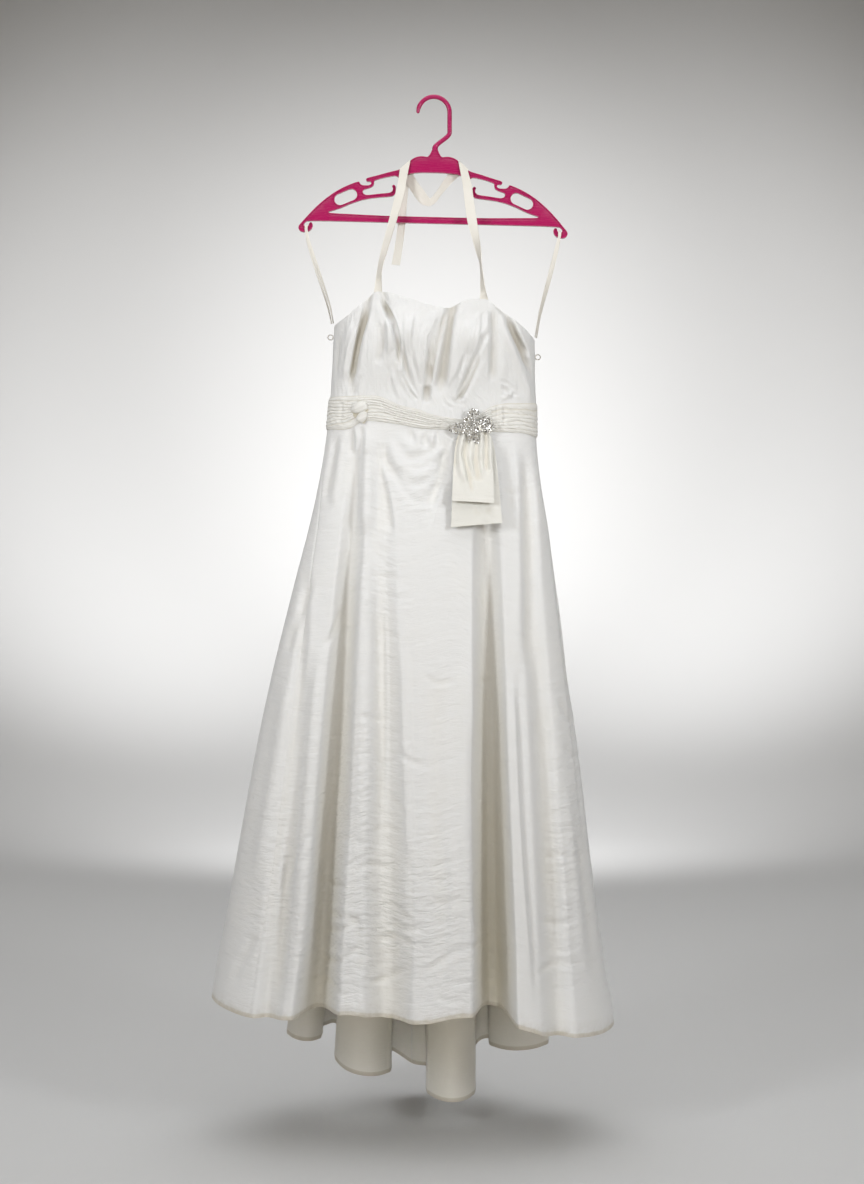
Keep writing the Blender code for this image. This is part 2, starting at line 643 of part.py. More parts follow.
def build_hook(material, collection):
    """The hanger's rod: an arc over the rail, a straight drop and a bend in to the stem."""
    points = []
    arc_steps, bend_steps = 20, 8
    for step in range(arc_steps + 1):
        turn = radians(HOOK_TURN * (1 - step / arc_steps))
        points.append((HOOK_RADIUS * cos(turn), HOOK_RADIUS * sin(turn)))
    arc_height = -(HOOK_RADIUS - ROD_RADIUS)
    points = [(x, z + arc_height) for x, z in points]
    tilt = radians(HANGER_TILT)
    stem_x = FRAME_OFFSET * cos(tilt) + STEM_END * sin(tilt)
    bend_top = arc_height - HOOK_DROP
    points.append((HOOK_RADIUS, (arc_height + bend_top) / 2))
    for step in range(bend_steps + 1):
        t = step / bend_steps
        points.append((lerp(HOOK_RADIUS, stem_x, ease(t)), lerp(bend_top, STEM_TOP, t)))
    points.append((stem_x, STEM_END))
    curve = bpy.data.curves.new("hanger_hook", "CURVE")
    curve.dimensions = "3D"
    curve.bevel_depth = ROD_RADIUS * MM
    curve.bevel_resolution = 2
    curve.render_resolution_u = 0
    curve.use_fill_caps = True
    spline = curve.splines.new("POLY")
    spline.points.add(len(points) - 1)
    for point, (x, z) in zip(spline.points, points):
        point.co = (x * MM, 0, z * MM, 1)
    spline.points[0].radius = HOOK_TIP_TAPER
    return new_object("hanger_hook", curve, material, collection)


def closed_spline(curve, outline):
    spline = curve.splines.new("POLY")
    spline.points.add(len(outline) - 1)
    for point, (x, z) in zip(spline.points, outline):
        point.co = (x * MM, z * MM, 0, 1)
    spline.use_cyclic_u = True


def build_hanger_frame(material, collection):
    """The moulded frame: neck, two arms with strap notches and grip holes, and the bar."""
    curve = bpy.data.curves.new("hanger_frame", "CURVE")
    curve.dimensions = "2D"
    curve.fill_mode = "BOTH"
    curve.extrude = HANGER_THICKNESS / 2 * MM
    curve.render_resolution_u = 0
    for half in (HANGER_OUTSIDE, HANGER_OPENING):
        right = [(FRAME_OFFSET + corner.out, corner.up) for corner in half]
        left = [(FRAME_OFFSET - corner.out, corner.up) for corner in reversed(half)]
        closed_spline(curve, right + left)
    for side in (-1, 1):
        hole = []
        for end in (1, -1):
            for step in range(GRIP_STEPS + 1):
                turn = radians(-90 + 180 * step / GRIP_STEPS)
                straight = GRIP_HALF_LENGTH - GRIP_HALF_WIDTH
                dx = end * (straight + GRIP_HALF_WIDTH * cos(turn))
                dz = end * GRIP_HALF_WIDTH * sin(turn)
                slope = radians(-side * GRIP_SLOPE)
                hole.append((FRAME_OFFSET + side * GRIP_HOLE.out + dx * cos(slope) - dz * sin(slope),
                             GRIP_HOLE.up + dx * sin(slope) + dz * cos(slope)))
        closed_spline(curve, hole)
    frame = new_object("hanger_frame", curve, material, collection)
    frame.rotation_euler = Euler((radians(90), radians(HANGER_TILT), 0))
    return frame


def main():
    clear_scene()
    dress = bpy.data.collections.new("engagement_dress")
    bpy.context.scene.collection.children.link(dress)
    build_bodice(finish("bodice_cloth", IVORY, 0.55), dress)
    build_waistband(finish("sash_cloth", IVORY, 0.5), dress)
    build_skirt(finish("skirt_cloth", IVORY, 0.55), dress)
    build_straps(finish("ribbon", RIBBON_IVORY, 0.5), dress)
    build_sash_tails(finish("sash_tail_cloth", IVORY, 0.5), dress)
    build_rings(finish("thread", RIBBON_IVORY, 0.7), dress)
    pad_on_band("brooch", BROOCH_CENTRE, BROOCH_HALF, BROOCH_LIFT, BROOCH_RISE, BROOCH_LOBES, 0.0,
                finish("crystal_brooch", SILVER, 0.25, 0.9), dress)
    pad_on_band("waistband_knot", KNOT_CENTRE, KNOT_HALF, KNOT_LIFT, KNOT_RISE, 0, KNOT_GROOVE,
                finish("knot_cloth", IVORY, 0.5), dress)
    plastic = finish("hanger_plastic", MAGENTA, 0.3)
    build_hook(plastic, dress)
    build_hanger_frame(plastic, dress)


main()
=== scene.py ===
from collections import namedtuple
from math import cos, hypot, pi, radians, sin

import bpy
import numpy as np
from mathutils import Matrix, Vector


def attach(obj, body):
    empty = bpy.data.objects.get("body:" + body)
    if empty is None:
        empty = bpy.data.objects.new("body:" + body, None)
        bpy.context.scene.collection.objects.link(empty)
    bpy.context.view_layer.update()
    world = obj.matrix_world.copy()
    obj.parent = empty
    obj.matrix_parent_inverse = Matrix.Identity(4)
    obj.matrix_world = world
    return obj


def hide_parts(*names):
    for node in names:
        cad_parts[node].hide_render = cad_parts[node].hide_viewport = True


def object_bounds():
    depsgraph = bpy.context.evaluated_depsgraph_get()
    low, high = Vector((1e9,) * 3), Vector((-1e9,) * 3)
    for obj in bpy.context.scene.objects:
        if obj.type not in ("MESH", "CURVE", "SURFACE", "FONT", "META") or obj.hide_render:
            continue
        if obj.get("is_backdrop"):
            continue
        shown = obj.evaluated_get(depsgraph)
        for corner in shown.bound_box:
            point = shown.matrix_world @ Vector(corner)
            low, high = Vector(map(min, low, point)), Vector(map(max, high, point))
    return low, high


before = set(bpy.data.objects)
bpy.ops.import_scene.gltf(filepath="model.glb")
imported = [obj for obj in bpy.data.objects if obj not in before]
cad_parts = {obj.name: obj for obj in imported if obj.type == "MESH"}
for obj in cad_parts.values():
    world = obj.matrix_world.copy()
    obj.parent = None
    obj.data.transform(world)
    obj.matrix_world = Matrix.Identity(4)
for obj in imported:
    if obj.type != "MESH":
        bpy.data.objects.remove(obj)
cad_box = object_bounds()

# The camera looks level at the front of the hanging dress from a little over three metres away.
# One pixel of the 864 by 1184 picture is 1.642 mm in the plane of the hanger.
PICTURE_HEIGHT = 1184
PIXEL = 0.001642
CAMERA_PLACE = (-0.002956, -3.2, -0.8095)
CAMERA_CLIP = (0.1, 60)

camera_data = bpy.data.cameras.new("camera")
camera = bpy.data.objects.new("camera", camera_data)
bpy.context.scene.collection.objects.link(camera)
camera.location = CAMERA_PLACE
camera.rotation_euler = (radians(90), 0, 0)
camera_data.lens = camera_data.sensor_width * -CAMERA_PLACE[1] / (PICTURE_HEIGHT * PIXEL)
camera_data.clip_start, camera_data.clip_end = CAMERA_CLIP
bpy.context.scene.camera = camera

# The studio: a seamless pale sweep, floor and wall in one, all round the dress, lit by two softboxes
# at the front corners and a wash of light on the wall behind.
FLOOR_Z = -1.705
ROOM_RADIUS = 7.0
ROOM_HEIGHT = 9.0
ROOM_SWEEP = 3.0
ROOM_SWEEP_STEPS = 14
ROOM_SIDES = 96
ROOM_GREY = (0.62, 0.62, 0.62)
WARM_BOUNCE = (0.80, 0.70, 0.54)     # the side behind the camera, which only lends the shadows warmth

bpy.context.scene.view_settings.view_transform = "Standard"


def table(kind, *rows):
    return [kind(*row) for row in rows]


def fresh(primitive, name, **sizes):
    """A new piece made from one of the plain primitives, with nothing else selected."""
    bpy.ops.object.select_all(action="DESELECT")
    primitive(**sizes)
    piece = bpy.context.object
    piece.name = name
    return piece


class Socket:
    """A socket of a material's nodes, so that shader maths on numbers is written as arithmetic."""

    def __init__(self, socket):
        self.socket = socket

    def maths(self, operation, first, second):
        tree = self.socket.id_data
        node = tree.nodes.new("ShaderNodeMath")
        node.operation = operation
        for place, value in zip(node.inputs, (first, second)):
            if isinstance(value, Socket):
                tree.links.new(value.socket, place)
            else:
                place.default_value = value
        return Socket(node.outputs[0])

    def __add__(self, other):
        return self.maths("ADD", self, other)

    def __sub__(self, other):
        return self.maths("SUBTRACT", self, other)

    def __rsub__(self, other):
        return self.maths("SUBTRACT", other, self)

    def __mul__(self, other):
        return self.maths("MULTIPLY", self, other)

    def __pow__(self, other):
        return self.maths("POWER", self, other)

    __radd__ = __add__
    __rmul__ = __mul__


class Finish:
    """A material: settings go on its shader's own sockets, and node() adds every other node."""

    def __init__(self, name, **settings):
        self.material = bpy.data.materials.new(name)
        self.material.use_nodes = True
        self.tree = self.material.node_tree
        self.shader = self.tree.nodes["Principled BSDF"]
        for label, value in settings.items():
            self.connect(self.shader.inputs[label.replace("_", " ")], value)

    def connect(self, place, value):
        if isinstance(value, Socket):
            self.tree.links.new(value.socket, place)
        elif place.type == "RGBA" and len(value) == 3:
            place.default_value = (*value, 1.0)
        else:
            place.default_value = value

    def node(self, kind, settings=None, inputs=None, output=0):
        node = self.tree.nodes.new("ShaderNode" + kind)
        for label, value in (settings or {}).items():
            if label == "stops":
                for place, (position, shade) in enumerate(value):
                    elements = node.color_ramp.elements
                    stop = elements[place] if place < 2 else elements.new(position)
                    stop.position, stop.color = position, (shade, shade, shade, 1.0)
            else:
                setattr(node, label, value)
        for place, value in (inputs or {}).items():
            self.connect(node.inputs[place], value)
        return Socket(node.outputs[output])

    def solid_place(self):
        return self.node("TexCoord", None, None, 3)

    def cloth_place(self):
        return self.node("UVMap", {"uv_map": "cloth"})

    def mark(self, label):
        """A number that the piece's own mesh carries at each point."""
        return self.node("Attribute", {"attribute_name": label}, None, 2)

    def ramp(self, value, *stops):
        """A grey tone read off between stops, each a position and its tone."""
        return self.node("ValToRGB", {"stops": stops}, {0: value})

    def blend(self, share, first, second):
        """One colour, and a second where share is 1."""
        return self.node("Mix", {"data_type": "RGBA"}, {0: share, 6: first, 7: second}, 2)

    def noise(self, place, scale, detail=3.0, roughness=0.5, distortion=0.0):
        return self.node("TexNoise", None, {"Vector": place, "Scale": scale, "Detail": detail,
                                            "Roughness": roughness, "Distortion": distortion})

    def stretch(self, place, scale):
        """A vector scaled by three numbers, to draw a pattern out along one way of the cloth."""
        return self.node("VectorMath", {"operation": "MULTIPLY"}, {0: place, 1: scale})

    def paint(self, label, value):
        self.connect(self.shader.inputs[label], value)

    def bump(self, height, distance, strength=1.0):
        self.paint("Normal", self.node("Bump", None, {"Height": height, "Distance": distance,
                                                      "Strength": strength}))


room = fresh(bpy.ops.mesh.primitive_cylinder_add, "room", vertices=ROOM_SIDES, radius=ROOM_RADIUS,
             depth=ROOM_HEIGHT, location=(0, 0, FLOOR_Z + ROOM_HEIGHT / 2))
bpy.ops.object.transform_apply(location=True)
for edge in room.data.edges:
    edge.select = all(room.data.vertices[v].co.z < FLOOR_Z + ROOM_SWEEP for v in edge.vertices)
for face in room.data.polygons:
    face.select = False
bpy.context.tool_settings.mesh_select_mode = (False, True, False)
bpy.ops.object.mode_set(mode="EDIT")
bpy.ops.mesh.bevel(offset=ROOM_SWEEP, segments=ROOM_SWEEP_STEPS, affect="EDGES")
bpy.ops.mesh.select_all(action="SELECT")
bpy.ops.mesh.normals_make_consistent(inside=True)
bpy.ops.object.mode_set(mode="OBJECT")
bpy.ops.object.shade_smooth()
room_finish = Finish("room_paper", Roughness=0.9, Specular_IOR_Level=0.2)
room_place = room_finish.solid_place()
room_depth = room_finish.node("SeparateXYZ", None, {"Vector": room_place}, 1)
behind_camera = room_finish.ramp(room_depth * 0.25 + 0.65, (0.35, 1.0), (0.5, 0.0))
room_finish.paint("Base Color", room_finish.blend(behind_camera, ROOM_GREY, WARM_BOUNCE))
room.data.materials.append(room_finish.material)
room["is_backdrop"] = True

Lamp = namedtuple("Lamp", "name place target width height spread watts colour")
LAMPS = table(Lamp,
    ("softbox_left", (-1.75, -2.05, 0.0), (0, 0, -0.45), 0.5, 0.8, 86, 6.8, (0.955, 0.982, 1.0)),
    ("softbox_right", (1.75, -2.05, 0.0), (0, 0, -0.45), 0.5, 0.8, 86, 6.6, (0.955, 0.982, 1.0)),
    ("front_fill", (0, -3.6, -0.5), (0, 0, -0.5), 1.8, 1.0, 95, 3.1, (0.955, 0.98, 1.0)),
    ("low_fill", (0, -2.9, -1.35), (0, 0.1, -1.68), 1.4, 0.3, 9, 0.26, (1.0, 0.99, 0.97)),
    ("overhead", (0, 0.1, 2.8), (0, 0.1, -1.7), 5.0, 7.2, 145, 118, (0.97, 0.985, 1.0)),
)
for lamp in LAMPS:
    light_data = bpy.data.lights.new(lamp.name, "AREA")
    light_data.shape = "RECTANGLE"
    light_data.size, light_data.size_y = lamp.width, lamp.height
    light_data.spread = radians(lamp.spread)
    light_data.energy = lamp.watts
    light_data.color = lamp.colour
    light = bpy.data.objects.new(lamp.name, light_data)
    light.location = lamp.place
    light.rotation_euler = (Vector(lamp.target) - Vector(lamp.place)).to_track_quat("-Z", "Y").to_euler()
    light.visible_camera = False
    bpy.context.scene.collection.objects.link(light)

WallSpot = namedtuple("WallSpot", "x height tilt cone watts")
WALL_SPOTS = table(WallSpot, (-1.1, 0.05, 0, 65, 630), (1.1, 0.05, 0, 65, 630), (0, -0.2, 22, 104, 230))
WALL_SPOT_DEPTH = 2.2
WALL_SPOT_SIZE = 0.2
for spot_plan in WALL_SPOTS:
    spot_data = bpy.data.lights.new("wall_spot", "SPOT")
    spot_data.energy = spot_plan.watts
    spot_data.spot_size = radians(spot_plan.cone)
    spot_data.spot_blend = 1.0
    spot_data.shadow_soft_size = WALL_SPOT_SIZE
    spot = bpy.data.objects.new("wall_spot", spot_data)
    spot.location = (spot_plan.x, WALL_SPOT_DEPTH, spot_plan.height)
    spot.rotation_euler = (radians(90 - spot_plan.tilt), 0, 0)
    spot.visible_camera = False
    bpy.context.scene.collection.objects.link(spot)

AIR_COLOUR = (0.97, 0.985, 1.0, 1.0)
AIR_STRENGTH = 0.55
world = bpy.data.worlds.new("studio_air")
bpy.context.scene.world = world
world.use_nodes = True
air = world.node_tree.nodes["Background"]
air.inputs["Color"].default_value = AIR_COLOUR
air.inputs["Strength"].default_value = AIR_STRENGTH

# The bodice: a boned front with overlapped pleats and two soft cups between princess seams, two side
# panels and two back panels of ivory taffeta, sewn edge to edge and turned in along the top.
# All sizes of the dress are in millimetres, and angles run round it from the middle of the front.
MM = 0.001
CLOTH = 1.4
SEAM_TURN = 0.3         # how far a panel's edge turns in at a seam
SEAM_WIDTH = 4.0
SEAM_OVERLAP = 0.3
CLOTH_SMOOTH = 65       # degrees between two faces up to which cloth is shaded as one
WAIST_SEAM = -531.5
WAIST_FADE = 14         # height above the waist seam over which the bodice's creases fade in
NECK_LEVEL = -374
SKIRT_MIDDLE = -900

Level = namedtuple("Level", "z left right front back")
LEVELS = table(Level,
    (-320, 160, 161, 60, 44),
    (-360, 162.5, 163.5, 68, 46),
    (-400, 165, 165.5, 72, 47),
    (-440, 167, 166, 66, 46),
    (-490, 170, 167.5, 54, 45),
    (-560, 177, 168.5, 55, 47),
    (-630, 188.5, 175, 62, 54),
    (-700, 204, 187, 72, 64),
    (-785, 226, 198.5, 82, 80),
    (-870, 247.5, 209.5, 91, 98),
    (-950, 267, 220, 100, 116),
    (-1044, 287, 233, 110, 140),
    (-1140, 305, 244.5, 120, 165),
    (-1240, 323, 256, 131, 190),
    (-1340, 340, 268, 142, 215),
    (-1420, 356, 280, 150, 238),
    (-1510, 369, 295, 158, 260),
    (-1664, 376, 300, 164, 278),
)
Fold = namedtuple("Fold", "side x_top x_hem z_start half_top half_hem depth flat widen crown")
SKIRT_FOLDS = table(Fold,
    ("front", -196, -264, -900, 16, 26, 20, 0.0, 0.0, 0.0),
    ("front", -120, -187, -560, 20, 40, 92, 0.0, 0.2, 0.0),
    ("front", -87, -72, -600, 26, 44, 36, 0.1, 0.0, 0.0),
    ("front", 84, 96, -620, 24, 38, 122, 0.1, 0.3, 0.0),
    ("front", 146, 196, -560, 16, 30, 22, 0.0, 0.0, 0.0),
    ("back", -140, -213, -760, 26, 25, 108, 0.5, 1.3, 0.22),
    ("back", -66, -114, -700, 36, 39, 176, 0.5, 1.35, 0.2),
    ("back", 20, 28, -700, 34, 34, 210, 0.5, 1.3, 0.16),
    ("back", 110, 143, -800, 32, 46, 62, 0.5, 1.0, 0.25),
)
FOLD_GROWTH = 0.85
SOFT_START = 0.32       # the back folds open out gradually over this share of their length
FULL_FOLD = -1480
PAST_FULL = 1.15        # a fold goes on drifting sideways a little below that height
LEAST_FLAT = 0.1
Pleat = namedtuple("Pleat", "x_top z_top x_low z_low half depth")
BODICE_PLEATS = table(Pleat,
    (-84, -322, -30, -496, 9, 5),
    (30, -348, 8, -496, 15, 10),
    (-6, -410, -12, -508, 8, 5),
    (80, -405, 32, -512, 9, 5),
    (-106, -334, -134, -480, 10, 6),
    (108, -350, 158, -430, 10, 6),
)
PLEAT_FADE = 0.25
Cup = namedtuple("Cup", "x z width height rise")
BODICE_CUPS = table(Cup, (-52, -390, 42, 46, 9), (68, -396, 38, 44, 9))

Edge = namedtuple("Edge", "x z")
NECKLINE = table(Edge,
    (-163, -374), (-142, -361), (-112, -337), (-97, -325), (-82, -324.5),
    (-60, -331), (-38, -338), (3, -350), (22, -352), (40, -345),
    (55, -338.5), (72, -337), (88, -338), (100, -347), (119, -361),
    (144, -378), (164, -397),
)
BACK_NECKLINE = table(Edge, (-163, -374), (-120, -396), (-40, -416), (40, -420),
                      (120, -410), (164, -397))
LEFT_PRINCESS = -40.5
RIGHT_PRINCESS = 33.0

# Creases: depth inwards (a ridge is negative), half width, lean (how much sharper its left side is),
# and then the line it follows, x and z by turns.
Crease = namedtuple("Crease", "depth half lean path")


def crease_table(*rows):
    return [Crease(*row[:3], list(zip(row[3::2], row[4::2]))) for row in rows]


BODICE_CREASES = crease_table(
    (4.7, 5, 0.6, -90, -327, -74, -350, -61, -378, -55, -413, -55, -456),
    (2.3, 3.5, 0.3, -55, -450, -42, -480, -22, -505),
    (2.1, 4, 0, -66, -434, -58, -467, -42, -493, -29, -509),
    (2.9, 8, 0, -88, -370, -84, -397, -92, -445),
    (1.6, 4, 0, -62, -413, -74, -434, -66, -467),
    (-2.9, 9, 0, -25, -357, -41, -394, -31, -440, -22, -477),
    (1.7, 6, 0, -45, -384, -43, -418, -29, -467),
    (-2.6, 8, 0, 9, -357, -13, -386, -21, -418, -18, -456),
    (2, 2.6, 0.4, -9, -413, -7, -445, -3, -477),
    (-1.3, 3, 0, -15, -413, -9, -432, -5, -450),
    (3.2, 6.5, 0, -11, -474, -12, -491, -12, -506),
    (3.9, 6, 0.55, 21, -351, 11, -394, -1, -445, -4, -477),
    (-2.9, 7, -0.4, 40, -349, 33, -392, 29, -440, 24, -491),
    (-2.1, 8, 0, 54, -365, 52, -413, 36, -477),
    (1.6, 6, 0, 65, -370, 62, -413, 48, -456),
    (3.6, 4, -0.5, 76, -424, 64, -455, 53, -477, 33, -505),
    (1.4, 3.5, 0, 57, -413, 41, -456, 19, -488),
    (3.9, 8, -0.3, 96, -343, 96, -413, 94, -477),
    (-3.9, 8, 0, 106, -357, 129, -418, 151, -472, 165, -507),
    (4.2, 8, 0, 109, -364, 140, -413, 156, -450),
    (1.7, 4, 0, 106, -477, 121, -481, 136, -493),
    (-1.6, 4, 0, 106, -497, 121, -491, 132, -480),
    (5.5, 7, 0.2, -105, -343, -113, -370, -126, -413, -137, -491),
    (-3.9, 9, 0, -128, -373, -138, -413, -149, -467),
    (2.1, 5, 0, -117, -456, -128, -477, -136, -493),
    (1.6, 3.2, 0, -22, -350, -33, -384, -36, -428, -25, -470, -20, -488),
    (-1.3, 3, 0, -15, -362, -26, -392, -28, -428, -18, -466),
    (1.3, 3, 0, -2, -366, -15, -398, -17, -436, -12, -462),
    (-1.2, 2.6, 0, 4, -360, -6, -400, -8, -436, -7, -470),
    (1.4, 3.4, 0.3, -50, -352, -52, -392, -47, -436, -38, -470),
    (-1.4, 4, 0, -66, -352, -72, -392, -70, -430, -76, -478),
    (1.3, 3.4, 0, -80, -360, -80, -400, -84, -430),
    (1.2, 3, 0, -76, -440, -72, -470, -62, -500),
    (-1.2, 3, 0, -68, -446, -64, -474, -52, -502),
    (1.2, 2.6, 0, -48, -462, -40, -482, -28, -500),
    (1.1, 2.4, 0, -36, -470, -28, -488, -22, -502),
    (-1.5, 4, 0, 46, -362, 40, -404, 36, -444, 31, -478),
    (1.4, 3.2, 0, 58, -372, 50, -412, 44, -452, 36, -484),
    (-1.3, 3.2, 0, 68, -362, 64, -398, 58, -430),
    (1.5, 4, 0, 80, -352, 78, -384, 74, -414),
    (1.3, 3, 0, 24, -494, 36, -503, 52, -507),
    (1.1, 2.6, 0, 12, -497, 20, -508, 34, -513),
    (1.3, 3.2, 0, 104, -466, 118, -470, 140, -486),
    (-1.1, 3, 0, 108, -486, 124, -488, 142, -496),
    (1.6, 4, 0, 118, -362, 136, -396, 152, -430, 160, -462),
    (-1.4, 3.4, 0, 132, -376, 148, -404, 158, -438),
    (1.7, 4, 0, -120, -352, -134, -388, -146, -430, -150, -470),
    (-1.5, 4, 0, -108, -372, -118, -412, -128, -452, -132, -486),
    (1.3, 3, 0, -152, -388, -157, -424, -158, -462),
)
BACK_BODICE_CREASES = crease_table(
    (1.8, 9, 0, -120, -420, -108, -470, -112, -512),
    (-1.6, 8, 0, -92, -430, -84, -480, -90, -520),
    (1.5, 8, 0, -62, -440, -50, -485, -58, -525),
    (-1.2, 7, 0, 46, -440, 54, -480, 50, -520),
    (1.7, 9, 0, 86, -430, 78, -475, 84, -520),
    (1.4, 7, 0, 128, -425, 118, -470, 124, -510),
    (1.2, 5, 0, -140, -500, -100, -512, -60, -506),
    (1.1, 5, 0, 40, -508, 90, -514, 130, -500),
)


def lerp(a, b, t):
    return a + (b - a) * t


def ease(t):
    t = np.clip(t, 0.0, 1.0)
    return t * t * (3 - 2 * t)


def read(rows, key, column, value):
    """Reads a column of a table at values of its key column, on a smooth curve through the rows."""
    keys = np.array([getattr(row, key) for row in rows], float)
    points = np.array([getattr(row, column) for row in rows], float)
    if keys[0] > keys[-1]:
        keys, points = keys[::-1], points[::-1]
    slope = np.empty_like(points)
    slope[1:-1] = (points[2:] - points[:-2]) / (keys[2:] - keys[:-2])
    slope[0] = (points[1] - points[0]) / (keys[1] - keys[0])
    slope[-1] = (points[-1] - points[-2]) / (keys[-1] - keys[-2])
    value = np.clip(value, keys[0], keys[-1])
    i = np.clip(np.searchsorted(keys, value, side="right") - 1, 0, len(keys) - 2)
    span = keys[i + 1] - keys[i]
    t = (value - keys[i]) / span
    return ((2 * t**3 - 3 * t**2 + 1) * points[i] + (t**3 - 2 * t**2 + t) * span * slope[i]
            + (3 * t**2 - 2 * t**3) * points[i + 1] + (t**3 - t**2) * span * slope[i + 1])


def half_width(angle, z):
    left = read(LEVELS, "z", "left", z)
    right = read(LEVELS, "z", "right", z)
    return np.where(np.sin(np.radians(angle)) < 0, left, right)


def angle_at(x, level):
    """Where round the dress a distance from its middle lies, on the front."""
    return np.degrees(np.arcsin(x / half_width(x, level)))


def skirt_folds(x, z, side):
    """How far the long folds carry the cloth inwards, and how far sideways."""
    inwards, sideways = np.zeros_like(x), np.zeros_like(x)
    for fold in SKIRT_FOLDS:
        if fold.side != side:
            continue
        t = np.clip((fold.z_start - z) / (fold.z_start - FULL_FOLD), 0, PAST_FULL)
        off = x - lerp(fold.x_top, fold.x_hem, t)
        reach = np.abs(off) / lerp(fold.half_top, fold.half_hem, t)
        growth = np.minimum(t, 1.0) ** FOLD_GROWTH * (ease(t / SOFT_START) if side == "back" else 1)
        share = growth * (1 - ease((reach - fold.flat) / (1 - fold.flat)))
        share = share * (1 - fold.crown * np.minimum(reach / max(fold.flat, LEAST_FLAT), 1.0) ** 2)
        inwards += fold.depth * share
        sideways += fold.widen * off * share
    return inwards, sideways


def bodice_dent(x, z):
    total = np.zeros_like(x)
    for pleat in BODICE_PLEATS:
        t = (z - pleat.z_top) / (pleat.z_low - pleat.z_top)
        reach = np.abs(x - lerp(pleat.x_top, pleat.x_low, t)) / pleat.half
        ends = ease((t + PLEAT_FADE) / PLEAT_FADE) * ease((1 - t) / PLEAT_FADE)
        total += pleat.depth * (1 - ease(reach)) * ends
    for cup in BODICE_CUPS:
        total -= cup.rise * (1 - ease(np.hypot((x - cup.x) / cup.width, (z - cup.z) / cup.height)))
    return total


def body(angle, z):
    """Points of the dress's outer face, before its fine creases, and how deep in a fold each lies."""
    turn = np.radians(angle)
    front = np.cos(turn) > 0
    x = half_width(angle, z) * np.sin(turn)
    depth = np.where(front, read(LEVELS, "z", "front", z), read(LEVELS, "z", "back", z))
    front_dent, front_shift = skirt_folds(x, z, "front")
    back_dent, back_shift = skirt_folds(x, z, "back")
    fade = np.minimum(1.0, 3 * np.abs(np.cos(turn)))
    dent = np.where(front, front_dent + bodice_dent(x, z), back_dent) * fade
    shift = np.where(front, front_shift, back_shift) * fade
    y = depth * np.abs(np.cos(turn)) - dent
    return np.stack([x + shift, np.where(front, -y, y), z], axis=-1), dent


def edge_height(front_rows, back_rows, column, angle, level):
    x = half_width(angle, level) * np.sin(np.radians(angle))
    front = np.cos(np.radians(angle)) > 0
    return np.where(front, read(front_rows, "x", column, x), read(back_rows, "x", column, x))


def neckline(angle):
    return edge_height(NECKLINE, BACK_NECKLINE, "z", angle, NECK_LEVEL)


def fixed(value):
    """A seam that stays at one angle, or an edge that stays at one height."""
    return lambda anywhere: np.full_like(anywhere, value, dtype=float)


CREASE_REACH = 3        # half widths from its line over which a crease still bends the cloth
CREASE_END = 0.22       # share of a crease's length over which each end fades out
SHOULDER = 0.28         # height of the soft shoulder on both sides of a crease, of the crease's depth
SHOULDER_PLACE = 1.6    # in half widths from the crease's line
SHOULDER_HALF = 0.9


def crease_relief(x, z, creases):
    """Height inwards of a set of creases at points of a panel; each fades out towards its two ends."""
    total = np.zeros_like(x)
    for crease in creases:
        path = crease.path
        for _ in range(2):
            corners = [(lerp(a[0], b[0], f), lerp(a[1], b[1], f))
                       for a, b in zip(path, path[1:]) for f in (0.25, 0.75)]
            path = [path[0], *corners, path[-1]]
        xs, zs = [p[0] for p in path], [p[1] for p in path]
        room_for = crease.half * CREASE_REACH
        near = ((x > min(xs) - room_for) & (x < max(xs) + room_for)
                & (z > min(zs) - room_for) & (z < max(zs) + room_for))
        if not near.any():
            continue
        px, pz = x[near], z[near]
        best = np.full(px.shape, 1e9)
        signed, along = np.zeros_like(best), np.zeros_like(best)
        run, length = 0.0, sum(hypot(b[0] - a[0], b[1] - a[1]) for a, b in zip(path, path[1:]))
        for a, b in zip(path, path[1:]):
            dx, dz = b[0] - a[0], b[1] - a[1]
            piece = max(hypot(dx, dz), 1e-6)
            t = np.clip(((px - a[0]) * dx + (pz - a[1]) * dz) / piece**2, 0, 1)
            ox, oz = px - a[0] - t * dx, pz - a[1] - t * dz
            away = np.hypot(ox, oz)
            closer = away < best
            side = np.sign(oz * dx - ox * dz)
            best = np.where(closer, away, best)
            signed = np.where(closer, away * side, signed)
            along = np.where(closer, (run + t * piece) / length, along)
            run += piece
        half = crease.half * (1 - crease.lean * np.sign(signed))
        shoulder = np.exp(-((best - SHOULDER_PLACE * half) / (SHOULDER_HALF * half)) ** 2)
        profile = np.exp(-(best / half) ** 2) - SHOULDER * shoulder
        ends = ease(along / CREASE_END) * ease((1 - along) / CREASE_END)
        total[near] += crease.depth * profile * ends
    return total


CROWDING = 0.8          # how far a crowded panel's columns go over to even steps along the cloth
CROWD_FINENESS = 12


def panel_places(columns, rows, start, end, low, high, crowd=None):
    """Angle and height of each point of a panel: columns run between its seams, rows between its edges.
    With crowd, columns are spread evenly along the real length of the row at that share of the height."""
    share = np.linspace(0, 1, columns + 1)

    def places(across, up):
        middle = lerp(start(np.full(1, SKIRT_MIDDLE)), end(np.full(1, SKIRT_MIDDLE)), across)
        z = lerp(low(middle), high(middle), up)
        angle = lerp(start(z), end(z), across)
        return angle, lerp(low(angle), high(angle), up)

    if crowd is not None:
        fine = np.linspace(0, 1, columns * CROWD_FINENESS + 1)
        points, _ = body(*places(fine, crowd))
        run = np.r_[0, np.cumsum(np.linalg.norm(np.diff(points, axis=0), axis=1))]
        share = lerp(share, np.interp(share * run[-1], run, fine), CROWDING)
    across, up = np.meshgrid(share, np.linspace(0, 1, rows + 1))
    return places(across, up)


